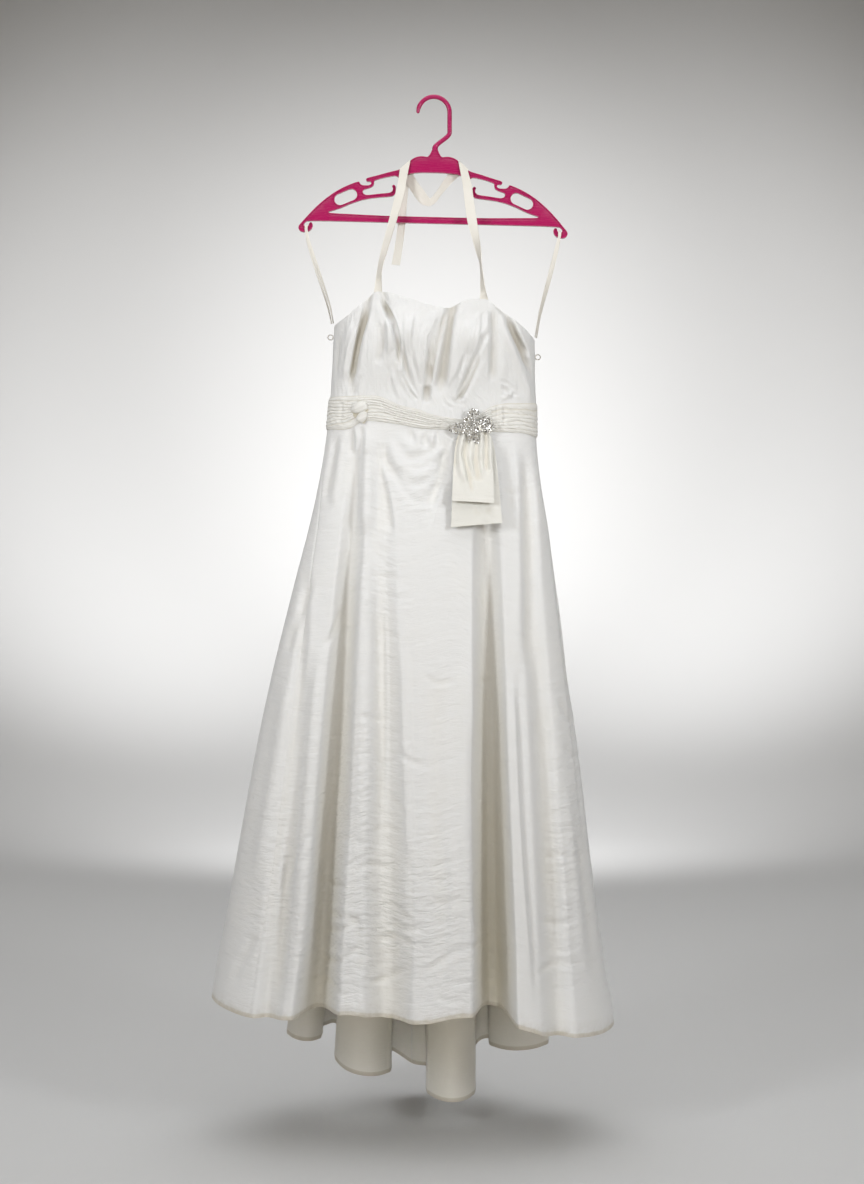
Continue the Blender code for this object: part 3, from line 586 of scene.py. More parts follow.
def face_normals(points):
    across, up = np.gradient(points, axis=1), np.gradient(points, axis=0)
    normal = np.cross(across, up)
    return normal / np.maximum(np.linalg.norm(normal, axis=-1, keepdims=True), 1e-9)


def run_length(points, axis):
    steps = np.linalg.norm(np.diff(points, axis=axis), axis=-1)
    return np.insert(np.cumsum(steps, axis=axis), 0, 0, axis=axis)


def put(piece, points):
    """Moves a piece's own points to places given in millimetres."""
    piece.data.vertices.foreach_set("co", (points * MM).astype(np.float32).ravel())


def mark_points(piece, label, values):
    layer = piece.data.attributes.new(label, "FLOAT", "POINT")
    layer.data.foreach_set("value", np.asarray(values, dtype=np.float32).ravel())


def cloth_grid(name, points, finishes, thickness=CLOTH, marks=None):
    """A sheet of cloth from its grid of outer points, in millimetres. Its UV map is in metres of cloth,
    and marks are numbers at each point that its finish reads, such as how much painted shade it takes in a
    fold."""
    rows, columns = points.shape[0] - 1, points.shape[1] - 1
    piece = fresh(bpy.ops.mesh.primitive_grid_add, name, x_subdivisions=columns, y_subdivisions=rows, size=1)
    mesh = piece.data
    mesh.name = name
    put(piece, points)
    uv = np.stack([run_length(points, 1), run_length(points, 0)], axis=-1) * MM
    corners = np.empty(len(mesh.loops), dtype=np.int32)
    mesh.loops.foreach_get("vertex_index", corners)
    mesh.uv_layers[0].name = "cloth"
    mesh.uv_layers[0].data.foreach_set("uv", uv.reshape(-1, 2)[corners].astype(np.float32).ravel())
    for label, values in (marks or {}).items():
        mark_points(piece, label, values)
    for finish in finishes:
        mesh.materials.append(finish.material)
    mesh.update()
    wall = piece.modifiers.new("wall", "SOLIDIFY")
    wall.thickness = thickness * MM
    wall.offset = -1
    wall.use_even_offset = False
    wall.material_offset = len(finishes) - 1
    bpy.ops.object.modifier_apply(modifier="wall")
    bpy.ops.object.shade_smooth_by_angle(angle=radians(CLOTH_SMOOTH))
    return piece


def carry(piece, node):
    """Shows a finished piece in place of the dress's solid of that name."""
    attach(piece, "root")
    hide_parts(node)


def edge_roll(columns_run, width=SEAM_WIDTH, depth=SEAM_TURN):
    """How far a panel turns in beside its two seams, from the run across it."""
    near = np.minimum(columns_run, columns_run[:, -1:] - columns_run)
    return depth * (1 - ease(near / width))


def taffeta(name, colour, shade, grain=(42, 120), hem_soil=False):
    """Ivory taffeta: uneven crosswise slub, a crisp sheen, and a painted shade, darker and warmer, where it
    lies deep in a fold. Its grain is how many soft crumples there are to a metre across and down."""
    finish = Finish(name, Roughness=0.4, Specular_IOR_Level=0.5, Sheen_Weight=0.15, Sheen_Roughness=0.45)
    cloth = finish.cloth_place()
    slub = finish.noise(finish.stretch(cloth, (14, 900, 1)), 1.0, 4.0, 0.62)
    thread = finish.noise(finish.stretch(cloth, (160, 2600, 1)), 1.0, 2.0, 0.5)
    mottle = finish.noise(cloth, 9.0, 4.0, 0.6)
    crumple = finish.noise(finish.stretch(cloth, (*grain, 1)), 1.0, 4.0, 0.55, 0.2)
    ripple = finish.noise(finish.stretch(cloth, (grain[0] * 0.4, grain[1] * 0.4, 1)), 1.0, 3.0, 0.5, 0.3)
    hollow = finish.mark("hollow")
    crinkle = finish.mark("crinkle")
    # Painted shade: the colour goes over to the second, darker and warmer one where a fold or crease lies
    # deep.
    tint = finish.blend(hollow + (mottle - 0.5) * 0.3, colour, shade)
    if hem_soil:
        hem = finish.mark("hem")
        soil = finish.ramp(hem * 34.0, (0.0, 1.0), (0.35, 0.25), (1.0, 0.0))
        spots = finish.noise(cloth, 70.0, 5.0, 0.7)
        spread = finish.ramp(spots, (0.35, 0.0), (0.65, 1.0))
        share = finish.node("Math", {"operation": "MULTIPLY"}, {0: soil, 1: spread})
        tint = finish.blend(share * 0.75, tint, (0.42, 0.37, 0.29))
        edge = finish.ramp(hem * 100.0, (0.0, 0.7), (0.55, 0.45), (0.72, 0.0))
        tint = finish.blend(edge, tint, (0.52, 0.47, 0.37))
    finish.paint("Base Color", finish.blend((slub - 0.5) * 0.5, tint, (0.74, 0.725, 0.69)))
    finish.paint("Roughness", slub * 0.26 + 0.26)
    creasing = crumple * (crinkle * 2.6 + 0.2) + ripple * (crinkle * 2.4 + 0.7)
    finish.bump(slub * 0.3 + thread * 0.12 + creasing, 0.0016)
    return finish


IVORY = (0.795, 0.797, 0.803)
# Painted shade: the bodice's deep folds and creases go over to this darker, warmer colour.
BODICE_PAINTED_SHADE = (0.47, 0.43, 0.35)
bodice_cloth = taffeta("bodice_taffeta", IVORY, BODICE_PAINTED_SHADE, grain=(120, 30))


def lining(name, hemmed=False):
    finish = Finish(name, Roughness=0.42, Specular_IOR_Level=0.4, Sheen_Weight=0.1)
    cloth = finish.cloth_place()
    weave = finish.noise(finish.stretch(cloth, (30, 700, 1)), 1.0, 3.0)
    pull = finish.noise(finish.stretch(cloth, (30, 16, 1)), 1.0, 3.0, 0.5, 0.3)
    tint = finish.blend(weave, (0.83, 0.805, 0.74), (0.78, 0.75, 0.68))
    if hemmed:
        hem = finish.mark("hem")
        edge = finish.ramp(hem * 100.0, (0.0, 0.8), (0.62, 0.5), (0.78, 0.0))
        # Painted shade: the lining turns darker and warmer further up inside the skirt, and stays lighter
        # near the hem, where light reaches it.
        high = finish.ramp(hem * 8.0, (0.05, 0.0), (1.0, 0.6))
        tint = finish.blend(edge, finish.blend(high, tint, (0.76, 0.70, 0.56)), (0.50, 0.44, 0.34))
    finish.paint("Base Color", tint)
    finish.bump(weave * 0.3 + pull, 0.0016)
    return finish


lining_cloth = lining("bodice_lining")
# Painted shade on the bodice is taken in full at this depth of fold.
BODICE_PAINTED_SHADE_DEPTH = 15      # depth of a hollow that takes the whole of the shade
BODICE_CRUMPLE = 0.35   # how crumpled the bodice is, and how much more it is towards the waist
BODICE_PANELS = [
    # name, columns, rows, seam angles, cut width and length in metres, area in square metres
    ("bodice_side_left", 70, 90, -90.0, LEFT_PRINCESS, (0.115, 0.20), 0.0165),
    ("bodice_front", 190, 120, LEFT_PRINCESS, RIGHT_PRINCESS, (0.245, 0.215), 0.0475),
    ("bodice_side_right", 76, 90, RIGHT_PRINCESS, 90.0, (0.12, 0.195), 0.0185),
    ("bodice_back_right", 90, 60, 90.0, 180.0, (0.19, 0.14), 0.0215),
    ("bodice_back_left", 90, 60, 180.0, 270.0, (0.19, 0.15), 0.0225),
]
for name, columns, rows, start, end, flat, area in BODICE_PANELS:
    foot = fixed(WAIST_SEAM + SEAM_OVERLAP)
    angle, z = panel_places(columns, rows, fixed(start), fixed(end), foot, neckline)
    points, dent = body(angle, z)
    front = np.cos(np.radians(angle)) > 0
    creases = crease_relief(points[..., 0], points[..., 2], BODICE_CREASES)
    back_creases = crease_relief(points[..., 0], points[..., 2], BACK_BODICE_CREASES)
    relief = np.where(front, creases, back_creases)
    relief = relief * ease((points[..., 2] - WAIST_SEAM) / WAIST_FADE) + edge_roll(run_length(points, 1))
    points = points - face_normals(points) * relief[..., None]
    near_waist = np.clip((WAIST_SEAM + 75 - points[..., 2]) / 60, 0, 1)
    # Painted shade: share of the darker colour from the depth of each fold and crease.
    marks = {"hollow": np.clip((dent + 1.5 * relief - 1) / BODICE_PAINTED_SHADE_DEPTH, 0, 1),
             "crinkle": BODICE_CRUMPLE + BODICE_CRUMPLE * near_waist}
    piece = cloth_grid(name + "_taffeta", points, [bodice_cloth, lining_cloth], marks=marks)
    carry(piece, name)

# The skirt: a wide front panel and two back panels of the same taffeta, lined, cut in one length to the
# floor. Long folds fall from the waist, and the back runs on into a short train of rolled folds.
SeamTurn = namedtuple("SeamTurn", "z angle")
LEFT_SEAM = table(SeamTurn, (-540, -90), (-600, -81), (-700, -68), (-914, -57.5), (-1200, -53.5),
                  (-1510, -53.5))
BACK_SEAM = table(SeamTurn, (-530, 180), (-620, 182.5), (-740, 186), (-1664, 186))
FRONT_HEM = table(Edge,
    (-369, -1470), (-348, -1478), (-295, -1488), (-240, -1487), (-185, -1481),
    (-133, -1473), (-74, -1483), (-14, -1485), (45, -1475), (92, -1482),
    (155, -1503), (181, -1513), (232, -1519), (270, -1520), (295, -1515),
)
BACK_HEM = table(Edge,
    (-369, -1470), (-330, -1500), (-300, -1526), (-240, -1558), (-213, -1573),
    (-190, -1572), (-172, -1569), (-150, -1592), (-135, -1612), (-115, -1625),
    (-95, -1629), (-76, -1624), (-60, -1633), (-35, -1650), (-4, -1655),
    (28, -1664), (48, -1658), (64, -1630), (80, -1606), (100, -1600),
    (143, -1603), (185, -1586), (220, -1566), (255, -1543), (295, -1515),
)
HEM_LEVEL = -1490
HEM_BAND = 6.5          # height of the narrow machined hem
HEM_RIDGE = 0.7         # depth of the stitched line over it
HEM_RIDGE_HALF = 1.6
SKIRT_WAIST_FADE = 12
# Painted shade on the skirt is taken in full at this depth of fold.
SKIRT_PAINTED_SHADE_DEPTH = 115
SKIRT_CRUMPLE = 0.12
Patch = namedtuple("Patch", "x z half_x half_z amount")
CRINKLED = table(Patch,  # where the taffeta is most crumpled from being sat on and folded
    (-120, -1150, 70, 170, 0.6), (-70, -1320, 100, 90, 0.75), (-150, -1400, 70, 70, 0.5),
    (20, -1270, 60, 120, 0.35), (-250, -1300, 40, 150, 0.5), (215, -1230, 34, 220, 0.5),
    (-20, -640, 80, 60, 0.45), (60, -1420, 50, 50, 0.4), (-95, -800, 40, 90, 0.4),
)
SKIRT_CREASES = crease_table(
    (-7.2, 14, 0, -110, -540, -104, -583, -107, -635, -111, -725),
    (4.3, 10, 0.5, -97, -555, -89, -609, -73, -671, -68, -725),
    (3.6, 8, 0, -86, -586, -72, -609, -55, -628),
    (3.2, 7, -0.3, -55, -586, -33, -596, -7, -586, 26, -561),
    (2.6, 6, -0.3, -51, -614, -22, -616, 12, -594, 31, -563),
    (2.3, 7, 0, -55, -640, -25, -638, 4, -616, 31, -566),
    (4.6, 12, 0.2, 22, -583, 12, -627, -11, -673),
    (2.9, 5, 0, -38, -548, -36, -566),
    (3.5, 6, 0, -17, -557, -13, -579),
    (2.6, 4, 0, 6, -551, 5, -568),
    (-2.6, 6, 0, -25, -548, -24, -575),
    (-2.3, 5, 0, -3, -551, -1, -575),
    (2.3, 10, 0, -83, -568, -79, -596),
    (1.4, 3, 0, -10, -675, -3, -694, -7, -707),
    (-2.8, 9, 0.2, -70, -560, -62, -592, -34, -622, 4, -610),
    (-2.2, 8, 0, -58, -548, -50, -568, -30, -582, 0, -578),
    (2, 6, 0, -66, -610, -48, -650, -20, -668, 6, -660),
    (2.4, 8, 0.4, 24, -556, 18, -600, 2, -650, -8, -700),
    (-2, 7, 0, 12, -570, 4, -612, -14, -655),
    (2.6, 5, 0.3, -133, -541, -131, -560, -136, -590),
    (-2.4, 4, 0, -126, -541, -124, -560, -127, -585),
    (2.4, 4, 0, -118, -541, -116, -562, -118, -588),
    (-2.2, 5, 0, -110, -540, -106, -560, -106, -590),
    (2, 6, 0, -158, -548, -166, -600, -180, -668),
    (-2, 7, 0, -146, -548, -152, -604, -164, -680),
    (2.2, 8, 0, 118, -560, 124, -620, 128, -700),
    (1.4, 4, 0, 110, -640, 126, -650, 146, -646),
    (-6.2, 9, 0.3, 124, -916, 132, -1152, 144, -1337, 156, -1483),
    (5, 10, 0, 149, -573, 155, -710, 152, -948),
    (3.8, 14, 0, 171, -948, 182, -1152, 194, -1414),
    (2, 4, 0, 190, -710, 209, -869, 231, -1074, 249, -1260),
    (4.4, 9, -0.5, -232, -1183, -245, -1337, -250, -1479),
    (-5, 14, 0, -182, -869, -201, -1144, -210, -1468),
    (3.8, 8, 0, -204, -734, -218, -980, -246, -1183, -274, -1399),
    (-3.8, 12, 0, -231, -916, -253, -1074, -290, -1299),
    (2.5, 7, 0, -196, -789, -220, -845, -239, -916),
    (2, 6, 0, -190, -1183, -225, -1229, -251, -1307),
    (2, 7, 0, -282, -1353, -308, -1399, -327, -1445),
    (-5, 16, 0, -109, -710, -113, -980, -110, -1260),
    (3, 14, 0, 5, -916, 2, -1152, 12, -1414),
    (-3.2, 15, 0, 48, -869, 45, -1152, 51, -1445),
    (3.2, 7, 0.5, -84, -805, -80, -995, -83, -1183),
    (-2.5, 7, 0, -49, -869, -45, -1074, -37, -1260),
    (2.8, 8, 0, -127, -1307, -115, -1368, -117, -1414),
    (2.8, 5, 0, -189, -1406, -150, -1395, -112, -1360),
    (2.5, 5, 0, -180, -1360, -143, -1341, -119, -1322),
    (2.7, 5, 0, -104, -1426, -73, -1422, -42, -1399),
    (2.3, 5, 0, -88, -1360, -57, -1353, -34, -1364),
    (2.1, 4, 0, -81, -1299, -57, -1308, -33, -1330),
    (2.3, 5, 0, -19, -1406, 8, -1391, 51, -1360),
    (2.1, 5, 0, 36, -1376, 63, -1364, 80, -1376),
    (1.9, 4, 0, -151, -1206, -128, -1194, -112, -1210),
    (1.9, 4, 0, -77, -1128, -58, -1144, -42, -1167),
    (1.7, 4, 0, -90, -869, -62, -881, -50, -877),
    (1.7, 4, 0, -106, -778, -74, -786, -54, -782),
    (2.1, 5, 0, 202, -980, 220, -1019, 232, -1027),
    (2.1, 5, 0, 208, -1058, 225, -1074, 239, -1085),
    (2.3, 6, 0, 159, -1414, 198, -1399, 244, -1406),
    (1.9, 5, 0, 75, -948, 83, -954, 95, -953),
    (2.4, 5, 0, -146, -830, -160, -872, -178, -902),
    (2, 4.5, 0, -118, -1004, -96, -1016, -70, -1010),
    (2, 4.5, 0, -60, -1060, -36, -1080, -10, -1084),
    (1.8, 4, 0, -20, -940, 6, -956, 36, -950),
    (2.2, 5, 0, -186, -1270, -160, -1282, -136, -1270),
    (2.2, 5, 0, -128, -1250, -100, -1238, -70, -1252),
    (2, 4, 0, -100, -1190, -76, -1180, -50, -1192),
    (2.4, 5, 0, -168, -1330, -140, -1318, -112, -1334),
    (2.2, 4.5, 0, -66, -1330, -40, -1342, -12, -1334),
    (2, 4.5, 0, -10, -1290, 20, -1300, 48, -1288),
    (2.4, 5, 0, -200, -1440, -168, -1430, -132, -1446),
    (2, 5, 0, 0, -1440, 28, -1452, 60, -1440),
    (2.2, 5, 0, 170, -1330, 196, -1342, 226, -1334),
    (2, 5, 0, 176, -1240, 200, -1226, 222, -1236),
    (-1.3, 12, 0, -158, -1080, -150, -1280, -156, -1450),
    (2.2, 7, 0.3, -40, -1200, -34, -1320, -40, -1450),
    (-2.2, 8, 0, 26, -1180, 32, -1310, 24, -1450),
    (2.4, 9, 0, 64, -1000, 62, -1180, 70, -1380),
    (2, 8, 0, 230, -1180, 250, -1320, 262, -1460),
    (-2.2, 8, 0, 212, -1100, 228, -1260, 240, -1430),
)


BACK_MIRROR = -0.95     # the back's creases are the front's, mirrored, a little wider
BACK_DROP = 8           # and this much lower


def hem(angle):
    return edge_height(FRONT_HEM, BACK_HEM, "z", angle, HEM_LEVEL)


def left_seam(z):
    return read(LEFT_SEAM, "z", "angle", z)


def left_seam_behind(z):
    return 360 + left_seam(z)


def back_seam(z):
    return read(BACK_SEAM, "z", "angle", z)


# Painted shade: the skirt's deep folds and creases go over to this warmer colour.
SKIRT_PAINTED_SHADE = (0.81, 0.765, 0.655)
skirt_lining = lining("skirt_lining", hemmed=True)
skirt_cloth = taffeta("skirt_taffeta", IVORY, SKIRT_PAINTED_SHADE, hem_soil=True)
SKIRT_PANELS = [
    ("skirt_front", 236, 200, left_seam, fixed(90.0), (1.20, 0.99), 0.72),
    ("skirt_back_right", 200, 200, fixed(90.0), back_seam, (1.0, 1.14), 0.66),
    ("skirt_back_left", 230, 200, back_seam, left_seam_behind, (1.15, 1.14), 0.78),
]
for name, columns, rows, start, end, flat, area in SKIRT_PANELS:
    angle, z = panel_places(columns, rows, start, end, hem, fixed(WAIST_SEAM), crowd=0.12)
    points, dent = body(angle, z)
    front = np.cos(np.radians(angle)) > 0
    x_seen, z_seen = points[..., 0], points[..., 2]
    relief = crease_relief(np.where(front, x_seen, BACK_MIRROR * x_seen),
                           np.where(front, z_seen, z_seen + BACK_DROP), SKIRT_CREASES)
    relief = relief * ease((WAIST_SEAM - z_seen) / SKIRT_WAIST_FADE)
    relief = relief + edge_roll(run_length(points, 1), width=2.4, depth=0.8)
    above_hem = run_length(points, 0) * MM
    relief = relief + HEM_RIDGE * np.exp(-((above_hem / MM - HEM_BAND) / HEM_RIDGE_HALF) ** 2)
    points = points - face_normals(points) * relief[..., None]
    # Painted shade: share of the warmer colour from the depth of each fold and crease.
    marks = {"hollow": np.clip((dent + 3 * relief) / SKIRT_PAINTED_SHADE_DEPTH, 0, 1),
             "crinkle": SKIRT_CRUMPLE + sum(patch.amount * np.exp(-((x_seen - patch.x) / patch.half_x) ** 2
                                                         - ((z_seen - patch.z) / patch.half_z) ** 2)
                                   for patch in CRINKLED),
             "hem": above_hem}
    piece = cloth_grid(name + "_taffeta", points, [skirt_cloth, skirt_lining], marks=marks)
    carry(piece, name)

# The waistband: a wide bias sash of the same taffeta, pleated along its length and stitched down over
# the waist seam, from the knot at the left front round to the brooch and on across the back.
BAND_LIFT = 0.35
BAND_MIDDLE = -520
BAND_TOP_LEVEL = -495
BAND_BOTTOM_LEVEL = -545
PLEAT_LEAN = 0.72       # under 1, a pleat is fullest near its lower, overlapping edge
PLEAT_SWELL = 0.18
PLEAT_WAVES = 31
PLEAT_ROUND = 0.6       # under 1, a pleat's back is broad and its valleys are narrow
WAVER = (0.022, 0.014)  # how far the pleats waver up and down, in a long and a short wave
# Pleat rise below which the band takes painted shade.
BAND_PAINTED_SHADE_RISE = 1.3
BAND_WALL = 1.2
BAND_FOOT = 0.6         # height of the band's outer face at its two edges
BAND_ROUND = 0.75       # share of its fullness that the band loses towards them
BAND_EDGE = 0.09        # share of the band's height over which its edges curve down to the cloth
Band = namedtuple("Band", "x top bottom")
FRONT_BAND = table(Band,
    (-171, -491, -543.5), (-140, -491, -545), (-115, -491, -533), (-88, -493, -534),
    (-55, -507, -539), (-22, -515, -545.5), (-6, -522, -546.5), (26, -528, -548),
    (43, -530, -549), (66, -526, -550), (90, -511, -550), (113, -504, -550),
    (145, -502, -551), (168, -500.5, -556),
)
BACK_BAND = table(Band, (-171, -491, -543.5), (0, -494, -549), (168, -500.5, -556))

# Upper edge of each pleat as a share of the band's height, at five places from one end of the piece
# to the other, and how far the pleat stands up.
PleatLine = namedtuple("PleatLine", "start quarter half three_quarters end rise")
LEFT_PLEATS = table(PleatLine,
    (0.09, 0.11, 0.15, 0.20, 0.27, 1.6), (0.20, 0.22, 0.25, 0.29, 0.34, 2.2),
    (0.33, 0.32, 0.36, 0.38, 0.41, 2.4), (0.43, 0.45, 0.46, 0.47, 0.48, 1.9),
    (0.55, 0.54, 0.56, 0.57, 0.56, 2.5), (0.66, 0.67, 0.66, 0.66, 0.65, 2.0),
    (0.79, 0.78, 0.78, 0.76, 0.74, 2.3), (0.90, 0.89, 0.88, 0.87, 0.84, 1.8),
    (1.0, 1.0, 1.0, 1.0, 1.0, 1.6),
)
FRONT_PLEATS = table(PleatLine,
    (0.10, 0.12, 0.10, 0.14, 0.12, 2.0), (0.23, 0.22, 0.25, 0.24, 0.22, 2.5),
    (0.33, 0.36, 0.35, 0.38, 0.34, 2.1), (0.45, 0.46, 0.49, 0.47, 0.48, 2.6),
    (0.57, 0.60, 0.58, 0.61, 0.58, 2.2), (0.68, 0.70, 0.73, 0.70, 0.69, 2.6),
    (0.80, 0.83, 0.82, 0.85, 0.80, 2.3), (0.91, 0.92, 0.93, 0.92, 0.91, 2.0),
    (1.0, 1.0, 1.0, 1.0, 1.0, 1.7),
)
RIGHT_PLEATS = table(PleatLine,
    (0.11, 0.12, 0.10, 0.13, 0.14, 2.0), (0.22, 0.24, 0.23, 0.24, 0.27, 2.5),
    (0.34, 0.35, 0.37, 0.36, 0.38, 2.2), (0.47, 0.46, 0.48, 0.50, 0.50, 2.5),
    (0.60, 0.61, 0.60, 0.63, 0.62, 2.3), (0.78, 0.79, 0.80, 0.79, 0.80, 1.3),
    (1.0, 1.0, 1.0, 1.0, 1.0, 1.6),
)
BACK_PLEATS = table(PleatLine,
    (0.12, 0.10, 0.13, 0.11, 0.09, 2.1), (0.24, 0.22, 0.24, 0.25, 0.21, 2.4),
    (0.36, 0.35, 0.38, 0.36, 0.34, 2.2), (0.49, 0.47, 0.49, 0.50, 0.45, 2.5),
    (0.61, 0.60, 0.63, 0.61, 0.59, 2.1), (0.74, 0.73, 0.75, 0.76, 0.71, 2.5),
    (0.88, 0.86, 0.89, 0.87, 0.86, 2.0), (1.0, 1.0, 1.0, 1.0, 1.0, 1.7),
)
BAND_CREASES = crease_table(
    (1.6, 3.5, 0, 100, -500, 104, -522, 103, -552),
    (1.2, 3, 0, 112, -503, 115, -520, 111, -548),
    (1.0, 3, 0, -86, -498, -80, -512, -86, -530),
    (0.9, 3, 0, -40, -514, -36, -528, -42, -541),
    (1.0, 3, 0, 2, -526, 6, -536, 3, -547),
    (-0.9, 3, 0, 20, -530, 23, -538, 20, -547),
    (1.0, 3, 0, -150, -498, -148, -515, -152, -538),
)


def band_top(angle):
    return edge_height(FRONT_BAND, BACK_BAND, "top", angle, BAND_TOP_LEVEL)


def band_bottom(angle):
    return edge_height(FRONT_BAND, BACK_BAND, "bottom", angle, BAND_BOTTOM_LEVEL)


def along_table(rows, share):
    """Reads every column of a table at a share of the way down it, one array for each column."""
    keyed = [namedtuple("Keyed", ("key",) + rows[0]._fields)(n, *row) for n, row in enumerate(rows)]
    place = np.asarray(share) * (len(rows) - 1)
    return [read(keyed, "key", column, place) for column in rows[0]._fields]


def pleated(across, up, pleats):
    """Height of the pleats over the band's own face."""
    height, floor = np.zeros_like(across), np.zeros_like(across)
    for pleat in pleats:
        places = [namedtuple("Place", "at edge")(n / 4, edge) for n, edge in enumerate(pleat[:5])]
        ceiling = read(places, "at", "edge", across)
        inside = (up >= floor) & (up <= ceiling)
        share = np.clip((up - floor) / np.maximum(ceiling - floor, 1e-4), 0, 1)
        height = np.where(inside, pleat.rise * np.sin(pi * share ** PLEAT_LEAN) ** PLEAT_ROUND, height)
        floor = ceiling
    return height * (1 + PLEAT_SWELL * np.sin(PLEAT_WAVES * across + 9 * up) * np.sin(23 * up + 5 * across))


# The second colour is a painted shade in the valleys between the band's pleats and in the knot's slit.
sash_cloth = taffeta("sash_taffeta", (0.805, 0.795, 0.77), (0.62, 0.575, 0.47), grain=(60, 200))
BAND_PIECES = [
    ("waistband_left", 70, 90, -90.0, -46.0, LEFT_PLEATS, 0.62, (0.062, 0.085)),
    ("waistband_front", 150, 90, -46.0, 33.5, FRONT_PLEATS, 0.8, (0.225, 0.055)),
    ("waistband_right", 100, 84, 33.5, 90.0, RIGHT_PLEATS, 0.5, (0.11, 0.055)),
    ("waistband_back", 220, 84, 90.0, 270.0, BACK_PLEATS, 0.65, (0.40, 0.065)),
]
for name, columns, rows, start, end, pleats, rise, flat in BAND_PIECES:
    across, up = np.meshgrid(np.linspace(0, 1, columns + 1), np.linspace(0, 1, rows + 1))
    angle = lerp(start, end, across)
    points, _ = body(angle, lerp(band_bottom(angle), band_top(angle), up))
    run = across * (end - start)
    waver = WAVER[0] * np.sin(0.11 * run + 5 * up) + WAVER[1] * np.sin(0.29 * run + 2 + 9 * up)
    lift = pleated(across, np.clip(up + waver * np.sin(pi * up), 0, 1), pleats)
    dips = crease_relief(points[..., 0], points[..., 2], BAND_CREASES)
    dips = np.where(np.cos(np.radians(angle)) > 0, dips, 0)
    rounding = ease(np.minimum(up, 1 - up) / BAND_EDGE)
    fullness = CLOTH - BAND_FOOT + lift * rise - np.clip(dips, -1, 1.6)
    height = BAND_LIFT + BAND_FOOT + fullness * (1 - BAND_ROUND + BAND_ROUND * rounding)
    height = height - edge_roll(run_length(points, 1), width=3, depth=0.4)
    points = points + face_normals(points) * height[..., None]
    # Painted shade: the band darkens where a pleat stands low, in the valleys between pleats.
    marks = {"hollow": np.clip(1 - lift / BAND_PAINTED_SHADE_RISE, 0, 1) * 0.75, "crinkle": np.full_like(lift, 0.5)}
    piece = cloth_grid(name + "_ruched", points, [sash_cloth, lining_cloth], BAND_WALL, marks)
    carry(piece, name)

# The knot: where the sash crosses itself at the left front, a wide full roll of cloth over a smaller
# one, with a slanting slit between them. It is of the sash's own cloth, tucked into the band.
Roll = namedtuple("Roll", "dx dz half_x half_z slope height")
KNOT_ROLLS = table(Roll,
    (0.5, 8.5, 15.5, 10.0, 0.18, 1.0),  # upper
    (3.0, -8.5, 10.5, 9.5, 0.40, 0.85),  # lower
)
KNOT_CENTRE = (-120.0, -518.5)
KNOT_EDGE = [           # turn about the centre in degrees, reach in mm
    (0, 13.5), (35, 16.5), (60, 19), (90, 19.5), (120, 18), (150, 15.5), (180, 13), (210, 11.5),
    (240, 12), (265, 16), (290, 19), (310, 18), (335, 14), (360, 13.5),
]
KNOT_LIFT = 1.9
KNOT_RISE = 5.2
KNOT_FOOT = 1.3
KNOT_WOBBLE = (0.5, 0.4)    # unevenness of its edge, in a short and a long wave
TUCKS = (0.05, 0.03)    # height of the fine gathers in it, in a wide and a narrow set
SLIT_SHARPNESS = 2.2
# Strength of the painted shade in the knot's slit.
SLIT_PAINTED_SHADE = 1.3
LOWEST_SEAT = -560


def seat_behind(x, z):
    """Depth of the dress's face behind a place of the band, seen from the front."""
    seat, _ = body(angle_at(x, BAND_MIDDLE), np.maximum(z, LOWEST_SEAT))
    return seat[..., 1]


knot = fresh(bpy.ops.mesh.primitive_uv_sphere_add, "sash_knot", segments=96, ring_count=64, radius=1)
knot.data.name = "sash_knot"
around = np.array([vertex.co for vertex in knot.data.vertices])
turn = np.arctan2(around[:, 1], around[:, 0])
reach = np.interp(np.degrees(turn) % 360, *zip(*KNOT_EDGE))
reach = reach + KNOT_WOBBLE[0] * np.sin(9 * turn) + KNOT_WOBBLE[1] * np.sin(5 * turn + 1)
dx, dz = reach * around[:, 0], reach * around[:, 1]
x, z = KNOT_CENTRE[0] + dx, KNOT_CENTRE[1] + dz
fullness = np.zeros(len(dx))
for roll in KNOT_ROLLS:
    aside = (dx - roll.dx) / roll.half_x
    above = (dz - roll.dz - roll.slope * (dx - roll.dx)) / roll.half_z
    swell = roll.height * np.sqrt(np.clip(1 - aside ** 2 - above ** 2, 0, 1))
    fullness = np.maximum(fullness, swell)
tucks = TUCKS[0] * np.sin(dz * 0.9 - 0.35 * dx) + TUCKS[1] * np.sin(dz * 2.1 - 0.3 * dx + 1)
dome = np.clip(around[:, 2] * 3, 0, 1) * (fullness + tucks)
foot = KNOT_FOOT * (around[:, 2] + 1)
# Painted shade in the slit between the two rolls and round the knot's edge, where the rolls are low.
slit_painted_shade = np.clip(1 - fullness * SLIT_SHARPNESS, 0, 1) * ease(around[:, 2] * 1.6)
put(knot, np.stack([x, seat_behind(x, z) - KNOT_LIFT - foot - KNOT_RISE * dome, z], axis=-1))
mark_points(knot, "hollow", slit_painted_shade * SLIT_PAINTED_SHADE)
knot.data.uv_layers[0].name = "cloth"
for corner in knot.data.uv_layers[0].data:
    corner.uv = (corner.uv.x * 0.06, corner.uv.y * 0.05)
knot.data.materials.append(sash_cloth.material)
bpy.ops.object.mode_set(mode="EDIT")
bpy.ops.mesh.select_all(action="SELECT")
bpy.ops.mesh.normals_make_consistent(inside=False)
bpy.ops.object.mode_set(mode="OBJECT")
bpy.ops.object.shade_smooth()
carry(knot, "waistband_knot")

